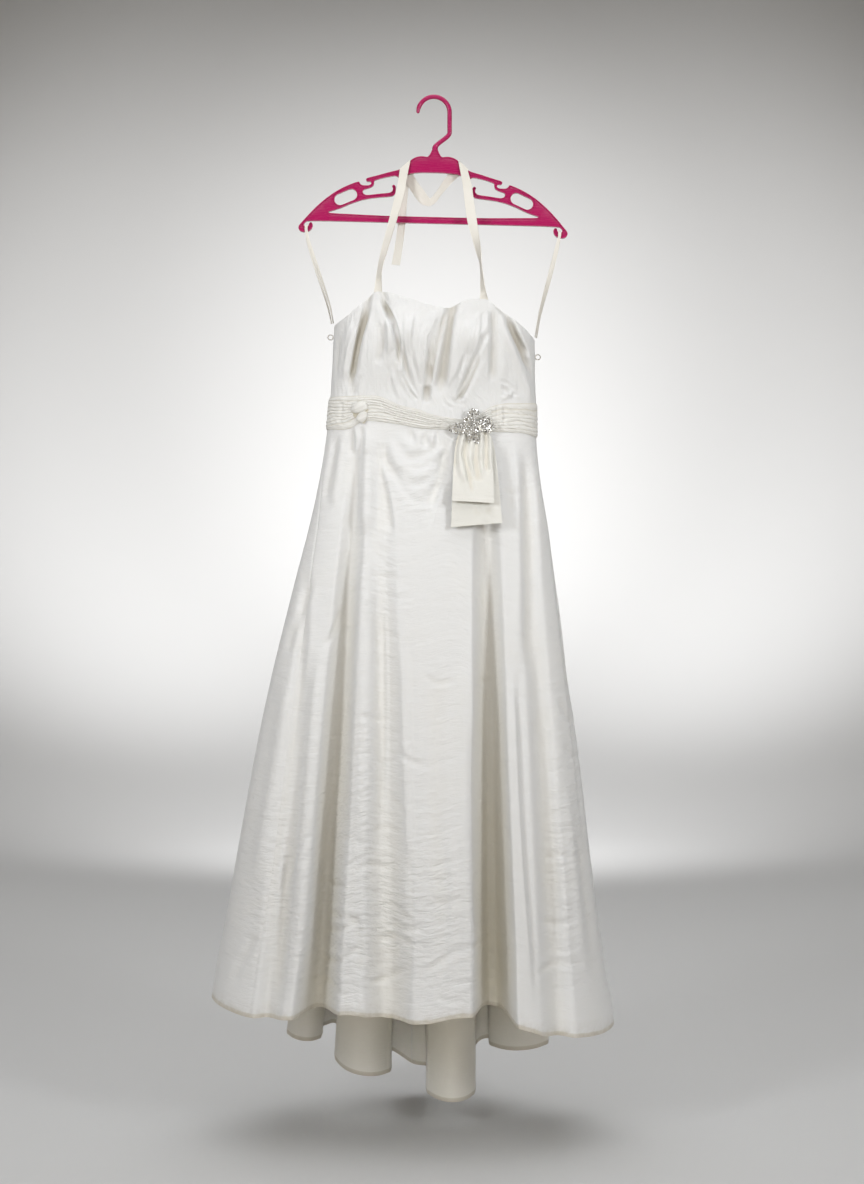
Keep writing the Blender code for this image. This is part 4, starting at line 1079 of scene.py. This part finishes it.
# The sash tails: the two ends of the sash, each folded flat and stitched along its lower edge, hang
# from under the brooch, the shorter one over the longer one.
Ribbon = namedtuple("Ribbon", "left_x left_y left_z right_x right_y right_z")
SHORT_TAIL = table(Ribbon,
    (44, -63, -551, 87, -57, -551),
    (38, -62, -560, 92.5, -55, -561),
    (34, -66.5, -580, 94.5, -64, -581),
    (32, -72, -602, 95, -70, -604),
    (30.5, -79, -625, 95.5, -77, -627),
    (29, -88, -664, 96, -86.5, -667.5),
)
LONG_TAIL = table(Ribbon,
    (46, -60, -552, 88, -53, -552),
    (40, -59, -561, 94, -52, -562),
    (34.5, -63, -585, 99, -59.6, -586),
    (30, -74.4, -640, 105, -70, -641),
    (27.6, -84, -706, 109.5, -80.5, -699),
)
SHORT_TAIL_CREASES = crease_table(
    (-4.4, 6, 0, 50, -545, 43, -572, 39, -590, 44, -612, 50, -640),
    (3.6, 5, 0, 42, -545, 37, -566, 35, -590, 34, -614),
    (2.6, 12, 0, 74, -590, 70, -615, 66, -636),
    (3.0, 4, 0, 57, -548, 50, -574, 48, -590, 54, -612, 60, -640, 62, -660),
    (-2.2, 4, 0, 64, -548, 60, -574, 58, -600, 66, -630),
    (2.2, 3.5, 0, 70, -548, 70, -574, 66, -600, 72, -630),
    (-3, 4.5, 0, 76, -545, 78, -572, 76, -600, 80, -630),
    (3.4, 4, 0.3, 84, -545, 86, -566, 84, -590, 87, -620),
    (-2.6, 3.6, 0, 88, -548, 92, -570, 91, -596, 92, -622),
)
LONG_TAIL_CREASES = crease_table(
    (-1.4, 5, 0, 98, -570, 99, -600, 101, -640),
    (1.2, 6, 0, 60, -680, 80, -684, 96, -676),
    (-1.0, 5, 0, 70, -672, 82, -688, 88, -700),
)


TAIL_COLUMNS = 64
TAIL_STEPS = 96
TAIL_CROWN = 1.4        # how far a folded tail stands up along its middle
TAIL_HEM = 9            # height of the stitched line over its lower edge
TAIL_HEM_HALF = 0.9
TAIL_HEM_DEPTH = 0.5
# Depth of crease at which the tails take their painted shade.
TAIL_PAINTED_SHADE_DEPTH = 6
TAIL_CRUMPLE = 0.1
TAIL_WALL = 1.6


def ribbon_grid(rows, columns, steps):
    """Points of a flat ribbon whose two edges follow a table, rows running down its length."""
    left_x, left_y, left_z, right_x, right_y, right_z = along_table(rows, np.linspace(0, 1, steps + 1))
    left, right = np.stack([left_x, left_y, left_z], -1), np.stack([right_x, right_y, right_z], -1)
    share = np.linspace(0, 1, columns + 1)[None, :, None]
    return left[:, None] * (1 - share) + right[:, None] * share


# The second colour is a painted shade in the tails' creases.
tail_cloth = taffeta("sash_tail_taffeta", (0.775, 0.765, 0.725), (0.68, 0.63, 0.53), grain=(50, 90))
for name, rows, creases, flat in (
    ("sash_tail_short", SHORT_TAIL, SHORT_TAIL_CREASES, (0.066, 0.108)),
    ("sash_tail_long", LONG_TAIL, LONG_TAIL_CREASES, (0.074, 0.147)),
):
    points = ribbon_grid(rows, TAIL_COLUMNS, TAIL_STEPS)
    outwards = -face_normals(points)
    outwards = np.where(outwards[..., 1:2] > 0, -outwards, outwards)
    dips = crease_relief(points[..., 0], points[..., 2], creases)
    down = run_length(points, 0)
    hem_line = np.exp(-((down[-1:] - down - TAIL_HEM) / TAIL_HEM_HALF) ** 2) * TAIL_HEM_DEPTH
    crown = TAIL_CROWN * (1 - (2 * np.linspace(0, 1, TAIL_COLUMNS + 1)[None, :] - 1) ** 2)
    points = points + outwards * (crown - np.clip(dips, -4.5, 1.6) - hem_line)[..., None]
    points = points[::-1]
    # Painted shade: share of the darker colour from the depth of each crease.
    marks = {"hollow": np.clip(dips[::-1] / TAIL_PAINTED_SHADE_DEPTH, 0, 0.6),
             "crinkle": np.full_like(dips, TAIL_CRUMPLE)}
    piece = cloth_grid(name + "_cloth", points, [tail_cloth], thickness=TAIL_WALL, marks=marks)
    carry(piece, name)

# The brooch: a cluster of five lobes of foiled crystals, each stone in its own silver cup, on a domed
# silver plate pinned over the end of the waistband.
Lobe = namedtuple("Lobe", "x z radius stones")
BROOCH_LOBES = table(Lobe,
    (60, -545, 12.0, 0.9), (84, -536, 10.5, 1.05), (64, -522.5, 7.0, 1.0),
    (64, -566, 8.4, 0.95), (38.5, -546.5, 7.4, 0.95), (53, -533, 6.6, 0.9),
    (74, -543, 8.0, 0.95), (87, -549, 6.4, 0.9), (62.5, -556, 7.0, 0.85),
    (28.5, -547, 3.2, 0.7), (95, -541.5, 4.2, 0.8), (48, -550, 5.0, 0.8),
)
BROOCH_CENTRE = (64.0, -543.0)
BROOCH_HALF = (38.0, 30.0)
BROOCH_LIFT = 7.5
BROOCH_RISE = 6.5
STONE_STEP = 3.9
STONE_RADIUS = 1.95
MIDDLE_STONE = 1.35     # size of a lobe's middle stone, of the stone radius
OTHER_STONES = (0.78, 1.05)
STONE_TILT = 0.3        # in radians, either way
STONE_TURN = 1.5
STONE_TABLE = 0.62      # height at which a stone's point is cut off flat
STONE_HEIGHT = 0.8
PLATE_WALL = 1.0
PLATE_UNDER = 0.6       # how far the plate lies under the stones' face and inside the lobes' edge
STONE_LIFT = 1.2
CUP_LIFT = 1.0
PRONG_LIFT = 1.8
PRONG_SIZE = 0.27       # of the stone's own
PRONG_REACH = 1.05
NEAREST = 0.78          # share of two stones' radii that may part them before one is left out


def brooch_face(x, z):
    """A point on the domed plate, under a place of the brooch seen from the front."""
    reach = np.hypot((x - BROOCH_CENTRE[0]) / BROOCH_HALF[0], (z - BROOCH_CENTRE[1]) / BROOCH_HALF[1])
    dome = np.sqrt(np.maximum(1 - np.minimum(reach, 1) ** 2, 0))
    return seat_behind(x, z) - BROOCH_LIFT - BROOCH_RISE * dome


def place_copies(name, model, placements, finish):
    """Joins a copy of a small model at each placement into one mesh, and removes the model."""
    copies = []
    for place, turn, size in placements:
        copy = model.copy()
        copy.data = model.data.copy()
        bpy.context.scene.collection.objects.link(copy)
        copy.location, copy.rotation_euler, copy.scale = place, turn, (size, size, size)
        copies.append(copy)
    bpy.data.objects.remove(model)
    bpy.ops.object.select_all(action="DESELECT")
    for copy in copies:
        copy.select_set(True)
    bpy.context.view_layer.objects.active = copies[0]
    bpy.ops.object.transform_apply()
    bpy.ops.object.join()
    joined = bpy.context.object
    joined.name = joined.data.name = name
    joined.data.materials.clear()
    joined.data.materials.append(finish.material)
    return joined


stone_places, small_places = [], []
chance = np.random.default_rng(41)
for lobe in BROOCH_LOBES:
    ring_count = round(lobe.radius / STONE_STEP - 0.25)
    for ring in range(ring_count + 1):
        count = 1 if ring == 0 else round(2 * pi * ring)
        for n in range(count):
            turn = 2 * pi * (n + 0.5 * (ring % 2)) / count
            x = lobe.x + ring * STONE_STEP * cos(turn)
            z = lobe.z + ring * STONE_STEP * sin(turn)
            share = MIDDLE_STONE if ring == 0 else chance.uniform(*OTHER_STONES)
            size = lobe.stones * STONE_RADIUS * share
            crowded = any(hypot(x - a, z - b) < NEAREST * (size + c) for a, b, c, _ in stone_places)
            if not crowded:
                tilt = (chance.uniform(-STONE_TILT, STONE_TILT), chance.uniform(0, STONE_TURN),
                        chance.uniform(-STONE_TILT, STONE_TILT))
                stone_places.append((x, z, size, tilt))
for x, z, size, _ in stone_places:
    for n in range(4):
        turn = pi / 4 + n * pi / 2
        reach = PRONG_REACH * size
        small_places.append((x + reach * cos(turn), z + reach * sin(turn), PRONG_SIZE * size))

crystal = Finish("foiled_crystal", Roughness=0.1, Metallic=0.3, Specular_IOR_Level=0.9, IOR=1.8)
crystal_place = crystal.solid_place()
# Painted reflections: each facet takes a random dark, grey or bright tone in the base colour, standing in
# for what it mirrors.
painted_reflection_cells = crystal.node("TexVoronoi", {"feature": "F1"}, {"Vector": crystal_place, "Scale": 620.0}, 1)
painted_reflection_share = crystal.node("SeparateColor", None, {"Color": painted_reflection_cells})
painted_reflection_tone = crystal.ramp(painted_reflection_share, (0.22, 0.03), (0.34, 0.5), (0.5, 0.96))
crystal.paint("Base Color", painted_reflection_tone)
silver = Finish("silver_setting", Roughness=0.28, Metallic=1.0)
silver_place = silver.solid_place()
tarnish = silver.noise(silver_place, 260.0, 4.0, 0.6)
silver.paint("Base Color", silver.blend(tarnish, (0.30, 0.27, 0.22), (0.86, 0.84, 0.79)))
silver.paint("Roughness", tarnish * 0.3 + 0.18)

stone_model = fresh(bpy.ops.mesh.primitive_uv_sphere_add, "stone_model", segments=8, ring_count=6, radius=1)
for vertex in stone_model.data.vertices:
    vertex.co.z = min(vertex.co.z, STONE_TABLE) * STONE_HEIGHT
cup_model = fresh(bpy.ops.mesh.primitive_torus_add, "cup_model", major_segments=14, minor_segments=6,
                  major_radius=1.02, minor_radius=0.14)
bead_model = fresh(bpy.ops.mesh.primitive_uv_sphere_add, "bead_model", segments=6, ring_count=4, radius=1)
FACING = pi / 2


def on_plate(x, z, lift):
    return x * MM, (brooch_face(np.array(x), np.array(z)) - lift) * MM, z * MM


stone_spots = [(on_plate(x, z, STONE_LIFT), (FACING + tilt[0], tilt[1], tilt[2]), size * MM)
               for x, z, size, tilt in stone_places]
cup_spots = [(on_plate(x, z, CUP_LIFT), (FACING, 0, 0), size * MM) for x, z, size, _ in stone_places]
bead_spots = [(on_plate(x, z, PRONG_LIFT), (0, 0, 0), size * MM) for x, z, size in small_places]
stones = place_copies("brooch_stones", stone_model, stone_spots, crystal)
cups = place_copies("brooch_cups", cup_model, cup_spots, silver)
prongs = place_copies("brooch_prongs", bead_model, bead_spots, silver)

plate = fresh(bpy.ops.mesh.primitive_grid_add, "brooch_plate", x_subdivisions=90, y_subdivisions=72, size=2)
plate.data.name = "brooch_plate"
flat_places = np.array([vertex.co for vertex in plate.data.vertices])
x = BROOCH_CENTRE[0] + flat_places[:, 0] * (BROOCH_HALF[0] + 3)
z = BROOCH_CENTRE[1] + flat_places[:, 1] * (BROOCH_HALF[1] + 2)
inside = np.zeros(len(x))
for lobe in BROOCH_LOBES:
    inside = np.maximum(inside, lobe.radius - PLATE_UNDER - np.hypot(x - lobe.x, z - lobe.z))
put(plate, np.stack([x, brooch_face(x, z) + PLATE_UNDER, z], axis=-1))
bpy.ops.object.mode_set(mode="EDIT")
bpy.ops.mesh.select_all(action="DESELECT")
bpy.ops.object.mode_set(mode="OBJECT")
for vertex, share in zip(plate.data.vertices, inside):
    vertex.select = bool(share <= 0)
bpy.context.tool_settings.mesh_select_mode = (True, False, False)
bpy.ops.object.mode_set(mode="EDIT")
bpy.ops.mesh.delete(type="VERT")
bpy.ops.object.mode_set(mode="OBJECT")
wall = plate.modifiers.new("wall", "SOLIDIFY")
wall.thickness, wall.offset = PLATE_WALL * MM, 0
bpy.ops.object.modifier_apply(modifier="wall")
plate.data.materials.append(silver.material)
for piece in (stones, cups, prongs, plate):
    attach(piece, "root")
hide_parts("brooch")

# The halter: one satin ribbon sewn to the bodice's top edge on each side, carried up over the hanger's
# neck plate and tied behind it, with its spare end hanging down behind the left strap.
LEFT_STRAP = table(Ribbon,
    (-91.8, -46, -292, -83.8, -57, -292),
    (-85.6, -37, -255.3, -74.3, -46, -255.3),
    (-74.5, -24, -209.2, -61.5, -31, -209.2),
    (-63.4, -15, -162.5, -49.2, -17, -162.5),
    (-58.6, -9, -138.2, -45, -9, -136),
    (-56.3, -5.6, -122, -39.4, -5.6, -107),
    (-55.6, -4.6, -115.6, -38.6, -4.6, -101.3),
    (-55.2, 0, -114.9, -38.4, 0, -100.5),
    (-55.2, 4.6, -115.6, -38.2, 4.6, -101.3),
    (-54.2, 5.6, -122, -36.4, 5.6, -107),
    (-46, 7, -136, -32, 7, -126.5),
    (-30, 9, -160, -15, 9, -150),
    (-20, 10, -170.5, -9, 10, -158.5),
    (-7.6, 10, -174.6, -5.2, 10, -162.2),
)
RIGHT_STRAP = table(Ribbon,
    (75.4, -53, -322, 83.2, -61, -322),
    (75, -43, -281, 77.6, -56, -281),
    (68.3, -37, -255.8, 76.4, -47, -255.8),
    (55.4, -30, -209.7, 70.4, -33, -209.7),
    (50.1, -18, -169.7, 65.2, -19, -169.7),
    (47.4, -11, -143.5, 61.8, -11, -143.5),
    (41.2, -5.6, -108, 56.8, -5.6, -123.6),
    (39.9, -4.6, -101.4, 55.9, -4.6, -116.4),
    (39.7, 0, -100.6, 55.6, 0, -115.7),
    (39.4, 4.6, -101.4, 55.4, 4.6, -116.4),
    (36, 5.6, -107, 53, 5.6, -122.5),
    (21.7, 7, -124.3, 38.2, 7, -128),
    (4.4, 9, -150, 12.6, 9, -155),
    (-2.5, 10, -158.5, 4.0, 10, -167),
    (-7.4, 10.4, -162.2, -6.6, 10.4, -174.4),
)
STRAP_TAIL = table(Ribbon,
    (-51, 8, -124, -40, 8, -124),
    (-55, 9.6, -150, -42.5, 9.6, -150),
    (-57.3, 10, -180.5, -45.2, 10, -180.5),
    (-62, 10, -225, -49.2, 10, -225),
    (-69.3, 10, -270, -55.9, 10, -271.5),
)
RIBBON_WALL = 0.9
SELVEDGE = 0.25         # how much thicker the ribbon is along its two edges
SELVEDGE_SHARE = 0.07
FOOT_BEHIND = 0.8       # place of the strap's sewn end, behind and over the bodice's top edge
FOOT_ABOVE = 0.6


def strap_foot(x_left, x_right):
    """The strap's sewn end, just above the bodice's top edge and in line with its wall."""
    ends = []
    for x in (x_left, x_right):
        angle = angle_at(np.array(float(x)), NECK_LEVEL)
        top, _ = body(angle, neckline(angle))
        ends += [x, float(top[1]) + FOOT_BEHIND, float(top[2]) + FOOT_ABOVE]
    return Ribbon(*ends)


ribbon_cloth = Finish("satin_ribbon", Roughness=0.38, Specular_IOR_Level=0.5, Sheen_Weight=0.2)
ribbon_uv = ribbon_cloth.cloth_place()
rib = ribbon_cloth.noise(ribbon_cloth.stretch(ribbon_uv, (180, 2400, 1)), 1.0, 2.0)
wear = ribbon_cloth.noise(ribbon_uv, 30.0, 4.0, 0.6)
ribbon_cloth.paint("Base Color", ribbon_cloth.blend(wear, (0.83, 0.80, 0.745), (0.76, 0.73, 0.67)))
ribbon_cloth.paint("Roughness", rib * 0.2 + 0.30)
ribbon_cloth.bump(rib * 0.5 + wear * 0.5, 0.0006)

for name, rows, columns, steps, flat in (
    ("halter_strap_left", [strap_foot(-97, -84)] + LEFT_STRAP, 12, 260, (0.0155, 0.325)),
    ("halter_strap_right", [strap_foot(74, 88)] + RIGHT_STRAP, 12, 260, (0.0155, 0.345)),
    ("halter_tail", STRAP_TAIL, 12, 90, (0.0125, 0.148)),
):
    points = ribbon_grid(rows, columns, steps)
    share = np.linspace(0, 1, columns + 1)[None, :]
    selvedge = SELVEDGE * np.exp(-(np.minimum(share, 1 - share) / SELVEDGE_SHARE) ** 2)
    points = points + face_normals(points) * (RIBBON_WALL / 2 + selvedge)[..., None]
    piece = cloth_grid(name + "_ribbon", points, [ribbon_cloth], thickness=RIBBON_WALL)
    carry(piece, name)

# The hanger loops: narrow ribbon sewn inside each side seam and hooked over the hanger's end, and the
# small thread rings worked on the side seams beneath them.
LEFT_LOOP = table(Ribbon,
    (-165.6, -3.2, -368.6, -164.4, 0.2, -368.6),
    (-173, -5.6, -335, -170.6, -1.6, -335),
    (-191.5, -7.2, -280, -187.7, -4.6, -280),
    (-206.8, -6.8, -236, -202.2, -6.4, -236),
    (-211.4, -5.4, -217, -206.6, -5.4, -217),
    (-211.4, -5.2, -210.6, -206.6, -5.2, -210.2),
    (-211.4, -3.2, -208.1, -206.6, -3.2, -207.5),
    (-211.4, 3.2, -208.1, -206.6, 3.2, -207.5),
    (-211.4, 5.2, -210.6, -206.6, 5.2, -210.2),
    (-211.4, 5.4, -217, -206.6, 5.4, -217),
    (-208.8, 6.6, -236, -204.2, 6.8, -236),
    (-195.5, 5.4, -280, -191.9, 7.4, -280),
    (-177, 2.2, -335, -174.6, 5.6, -335),
    (-168.6, 1.6, -368.6, -167.6, 4.8, -368.6),
)
RIGHT_LOOP = table(Ribbon,
    (165.4, -3.6, -392, 166.6, -0.2, -392),
    (172, -5.6, -352, 174.8, -1.8, -352),
    (184.4, -7.4, -300, 188.8, -5.4, -300),
    (195.6, -7.2, -256, 200.8, -6.8, -256),
    (203.2, -5.4, -228, 208, -5.4, -228),
    (203.9, -5.2, -220.4, 208.7, -5.2, -221),
    (203.9, -3.2, -217.7, 208.7, -3.2, -218.5),
    (203.9, 3.2, -217.7, 208.7, 3.2, -218.5),
    (203.9, 5.2, -220.4, 208.7, 5.2, -221),
    (203.8, 5.4, -228, 208.6, 5.4, -228),
    (198.4, 6.6, -256, 203.2, 7.4, -256),
    (188, 5.4, -300, 191.8, 7.8, -300),
    (174.4, 2.4, -352, 177, 6, -352),
    (168.2, 1.4, -392, 169.4, 4.8, -392),
)
LOOP_WIDTH = 0.0048
for name, rows, length in (
    ("hanger_loop_left", LEFT_LOOP, 0.342),
    ("hanger_loop_right", RIGHT_LOOP, 0.365),
):
    points = ribbon_grid(rows, 6, 280)
    points = points + face_normals(points) * RIBBON_WALL / 2
    piece = cloth_grid(name + "_ribbon", points, [ribbon_cloth], thickness=RIBBON_WALL)
    carry(piece, name)
    LOOP_WIDTH * length

thread = Finish("button_thread", Roughness=0.7)
thread_place = thread.solid_place()
thread_twist = thread.node("TexWave", None, {"Vector": thread_place, "Scale": 700.0, "Distortion": 2.0}, 1)
thread.paint("Base Color", thread.blend(thread_twist, (0.80, 0.76, 0.68), (0.62, 0.57, 0.48)))
thread.bump(thread_twist, 0.0003)
RING_RADIUS = 4.2
THREAD_RADIUS = 0.75
for name, x, z in (("side_ring_left", -169.6, -391.5), ("side_ring_right", 170.8, -424)):
    ring = fresh(bpy.ops.mesh.primitive_torus_add, name + "_thread", major_segments=48, minor_segments=12,
                 major_radius=RING_RADIUS * MM, minor_radius=THREAD_RADIUS * MM,
                 location=(x * MM, 0, z * MM), rotation=(radians(90), 0, 0))
    ring.data.name = name + "_thread"
    bpy.ops.object.transform_apply()
    ring.data.materials.append(thread.material)
    bpy.ops.object.shade_smooth()
    carry(ring, name)

# The hanger's frame: one glossy moulding with a neck plate, two arms with strap notches and grip
# holes, end hooks and a bar. A raised rim runs round a shallow recess on both faces.
HANGER_TILT = 1.4
HANGER_THICKNESS = 8.0
FRAME_OFFSET = 4.0
RIM_WIDTH = 1.9
RECESS = 1.3
RECESS_SLOPE = 0.5
RIM_ROUNDING = 0.7
Corner = namedtuple("Corner", "out up")
HANGER_OUTSIDE = table(Corner,
    (4.7, -83.8), (7, -90), (11.4, -96.3), (16, -95.6), (22, -95),
    (30.5, -96.6), (36.8, -100.2), (46.5, -109), (56.5, -118),
    (76, -123), (94, -128.6), (109, -132.6), (111.8, -134.4),
    (111.6, -137.4), (108.6, -138.8), (104.4, -138.2), (102.6, -141),
    (104.4, -144), (108.4, -145.2), (117.6, -145.2), (121.6, -142.6),
    (123.4, -138.4), (143.7, -146.6), (160, -155.6), (174, -165.6),
    (190, -179.6), (204, -194.4), (215.4, -207.8), (220.4, -213.6),
    (221, -218.4), (218, -222.6), (212.4, -224.2), (203.6, -222.6),
    (198.4, -217.6), (197.2, -211.6), (199.2, -208.2), (202, -207.8),
    (203.4, -210), (204, -213.2), (207.2, -215), (210, -215),
    (212.6, -212.6), (211, -208.8), (206, -204.8), (76, -204.8),
)
HANGER_OPENING = table(Corner,
    (10.8, -121.4), (26, -121.9), (42, -124), (57.6, -132.4),
    (59.6, -129.4), (64.6, -127.6), (82.4, -131.3), (98.8, -136.4),
    (98.4, -140.6), (100, -145.8), (106, -149.2), (114.9, -151.7),
    (117.3, -154.2), (115.9, -158.8), (110.6, -161.4), (88.8, -158.3),
    (71.6, -156.4), (67.6, -152.4), (67.6, -148), (69.2, -145),
    (66, -142.6), (62.4, -146), (63, -156.6), (67, -161.8),
    (98, -164.8), (117, -168.6), (135, -175), (155, -184.4),
    (179.4, -191.8), (120, -193.4), (75, -194.5),
)
GRIP_HOLE = Corner(144.5, -165)
GRIP_HALF_LENGTH = 19.5
GRIP_HALF_WIDTH = 9.6
GRIP_SLOPE = 24.0
GRIP_STEPS = 12


def rounded(outline):
    """Cuts a closed outline's corners twice, which leaves them round."""
    for _ in range(2):
        outline = [(lerp(a[0], b[0], share), lerp(a[1], b[1], share))
                   for a, b in zip(outline, outline[1:] + outline[:1]) for share in (0.2, 0.8)]
    return outline


outlines = []
for half in (HANGER_OUTSIDE, HANGER_OPENING):
    right = [(FRAME_OFFSET + corner.out, corner.up) for corner in half]
    left = [(FRAME_OFFSET - corner.out, corner.up) for corner in reversed(half)]
    outlines.append(rounded(right + left))
for side in (-1, 1):
    hole = []
    slope = radians(-side * GRIP_SLOPE)
    for end in (1, -1):
        for step in range(GRIP_STEPS + 1):
            turn = radians(-90 + 180 * step / GRIP_STEPS)
            dx = end * (GRIP_HALF_LENGTH - GRIP_HALF_WIDTH + GRIP_HALF_WIDTH * cos(turn))
            dz = end * GRIP_HALF_WIDTH * sin(turn)
            hole.append((FRAME_OFFSET + side * GRIP_HOLE.out + dx * cos(slope) - dz * sin(slope),
                         GRIP_HOLE.up + dx * sin(slope) + dz * cos(slope)))
    outlines.append(hole)

loops = []
for outline in outlines:
    loop = fresh(bpy.ops.mesh.primitive_circle_add, "outline", vertices=len(outline), radius=1)
    for vertex, (x, z) in zip(loop.data.vertices, outline):
        vertex.co = Vector((x, HANGER_THICKNESS / 2, z)) * MM
    loops.append(loop)
bpy.ops.object.select_all(action="DESELECT")
for loop in loops:
    loop.select_set(True)
bpy.context.view_layer.objects.active = loops[0]
bpy.ops.object.join()
hanger = bpy.context.object
hanger.name = hanger.data.name = "hanger_moulding"
bpy.context.tool_settings.mesh_select_mode = (False, True, False)
bpy.ops.object.mode_set(mode="EDIT")
bpy.ops.mesh.select_all(action="SELECT")
bpy.ops.mesh.fill(use_beauty=True)
bpy.ops.mesh.select_all(action="SELECT")
bpy.ops.mesh.extrude_region_move(TRANSFORM_OT_translate={"value": (0, -HANGER_THICKNESS * MM, 0)})
bpy.ops.mesh.select_all(action="SELECT")
bpy.ops.mesh.normals_make_consistent(inside=False)
for facing_y in (-1, 1):
    bpy.ops.object.mode_set(mode="OBJECT")
    for face in hanger.data.polygons:
        face.select = face.normal.y * facing_y > 0.9
    for edge in hanger.data.edges:
        edge.select = False
    bpy.context.tool_settings.mesh_select_mode = (False, False, True)
    bpy.ops.object.mode_set(mode="EDIT")
    bpy.ops.mesh.inset(thickness=RIM_WIDTH * MM, depth=0, use_even_offset=False, use_boundary=True)
    bpy.ops.mesh.inset(thickness=RECESS_SLOPE * MM, depth=-RECESS * MM, use_even_offset=False,
                       use_boundary=True)
bpy.ops.object.mode_set(mode="OBJECT")
rims = hanger.modifiers.new("rims", "BEVEL")
rims.width, rims.segments = RIM_ROUNDING * MM, 3
rims.limit_method, rims.angle_limit = "ANGLE", radians(50)
bpy.ops.object.modifier_apply(modifier="rims")
bpy.ops.object.shade_smooth_by_angle(angle=radians(35))
hanger.rotation_euler = (0, radians(HANGER_TILT), 0)
bpy.ops.object.select_all(action="DESELECT")
hanger.select_set(True)
bpy.ops.object.transform_apply()

plastic = Finish("raspberry_plastic", Specular_IOR_Level=0.4, Coat_Roughness=0.14)
plastic_place = plastic.solid_place()
flow = plastic.noise(plastic.stretch(plastic_place, (6, 30, 30)), 1.0, 3.0, 0.55, 0.4)
scuffs = plastic.noise(plastic.stretch(plastic_place, (60, 200, 900)), 1.0, 4.0, 0.7)
grain = plastic.noise(plastic_place, 420.0, 2.0)
plastic.paint("Base Color", plastic.blend(flow, (0.45, 0.010, 0.115), (0.41, 0.008, 0.10)))
plastic.paint("Roughness", scuffs * 0.18 + 0.18)
plastic.paint("Coat Weight", scuffs * 0.3 + 0.1)
plastic.bump(flow * 0.8 + grain * 0.1, 0.00012)
hanger.data.materials.clear()
hanger.data.materials.append(plastic.material)
carry(hanger, "hanger_frame")

# The hanger's hook: a round rod of the same plastic, bent over in a half circle and down into the
# flared foot on the neck plate.
HOOK_RADIUS = 25.9
HOOK_TURN = 184.0
HOOK_DROP = 33.0
ROD_RADIUS = 3.7
ROD_SIDES = 28
STEM_TOP = -81.5
STEM_END = -85.5
HOOK_TIP_TAPER = 0.72
TAPER_RUN = 14          # length of rod over which the tip tapers, and at which the foot's flare begins
TIP_ROUND_RUN = 3
FOOT_FLARE = 0.3
FLARE_RUN = 12
ARC_STEPS = 60
DROP_STEPS = 14
BEND_STEPS = 26

arc_height = -(HOOK_RADIUS - ROD_RADIUS)
path = [(HOOK_RADIUS * cos(radians(turn)), HOOK_RADIUS * sin(radians(turn)) + arc_height)
        for turn in np.linspace(HOOK_TURN, 0, ARC_STEPS)]
stem_x = FRAME_OFFSET * cos(radians(HANGER_TILT)) + STEM_END * sin(radians(HANGER_TILT))
bend_top = arc_height - HOOK_DROP
path += [(HOOK_RADIUS, height) for height in np.linspace(arc_height - 2, bend_top + 1, DROP_STEPS)]
path += [(float(lerp(HOOK_RADIUS, stem_x, ease(t))), lerp(bend_top, STEM_TOP, t))
         for t in np.linspace(0, 1, BEND_STEPS)]
path += [(stem_x, STEM_END)]
path = np.array(path)
ahead = np.gradient(path, axis=0)
ahead /= np.linalg.norm(ahead, axis=1, keepdims=True)
run = np.r_[0, np.cumsum(np.linalg.norm(np.diff(path, axis=0), axis=1))]
radius = ROD_RADIUS * lerp(HOOK_TIP_TAPER, 1, ease(run / TAPER_RUN))
radius *= np.sqrt(np.clip(1 - np.clip(1 - run / TIP_ROUND_RUN, 0, 1) ** 2, 0.0, 1))
radius *= 1 + FOOT_FLARE * ease((run - run[-1] + TAPER_RUN) / FLARE_RUN)
hook = fresh(bpy.ops.mesh.primitive_grid_add, "hanger_rod", x_subdivisions=ROD_SIDES,
             y_subdivisions=len(path) - 1, size=1)
hook.data.name = "hanger_rod"
turn = np.linspace(0, 2 * pi, ROD_SIDES + 1)[None, :]
side = np.cos(turn) * radius[:, None]
put(hook, np.stack([path[:, None, 0] - ahead[:, None, 1] * side, np.sin(turn) * radius[:, None],
                    path[:, None, 1] + ahead[:, None, 0] * side], axis=-1))
bpy.context.tool_settings.mesh_select_mode = (True, False, False)
bpy.ops.object.mode_set(mode="EDIT")
bpy.ops.mesh.select_all(action="SELECT")
bpy.ops.mesh.remove_doubles(threshold=0.00001)
bpy.ops.mesh.select_all(action="DESELECT")
bpy.ops.mesh.select_non_manifold()
bpy.ops.mesh.edge_face_add()
bpy.ops.mesh.select_all(action="SELECT")
bpy.ops.mesh.normals_make_consistent(inside=False)
bpy.ops.object.mode_set(mode="OBJECT")
bpy.ops.object.shade_smooth_by_angle(angle=radians(50))
hook.data.materials.append(plastic.material)
carry(hook, "hanger_hook")

size = {"cad": [list(corner) for corner in cad_box], "visual": [list(corner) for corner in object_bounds()]}
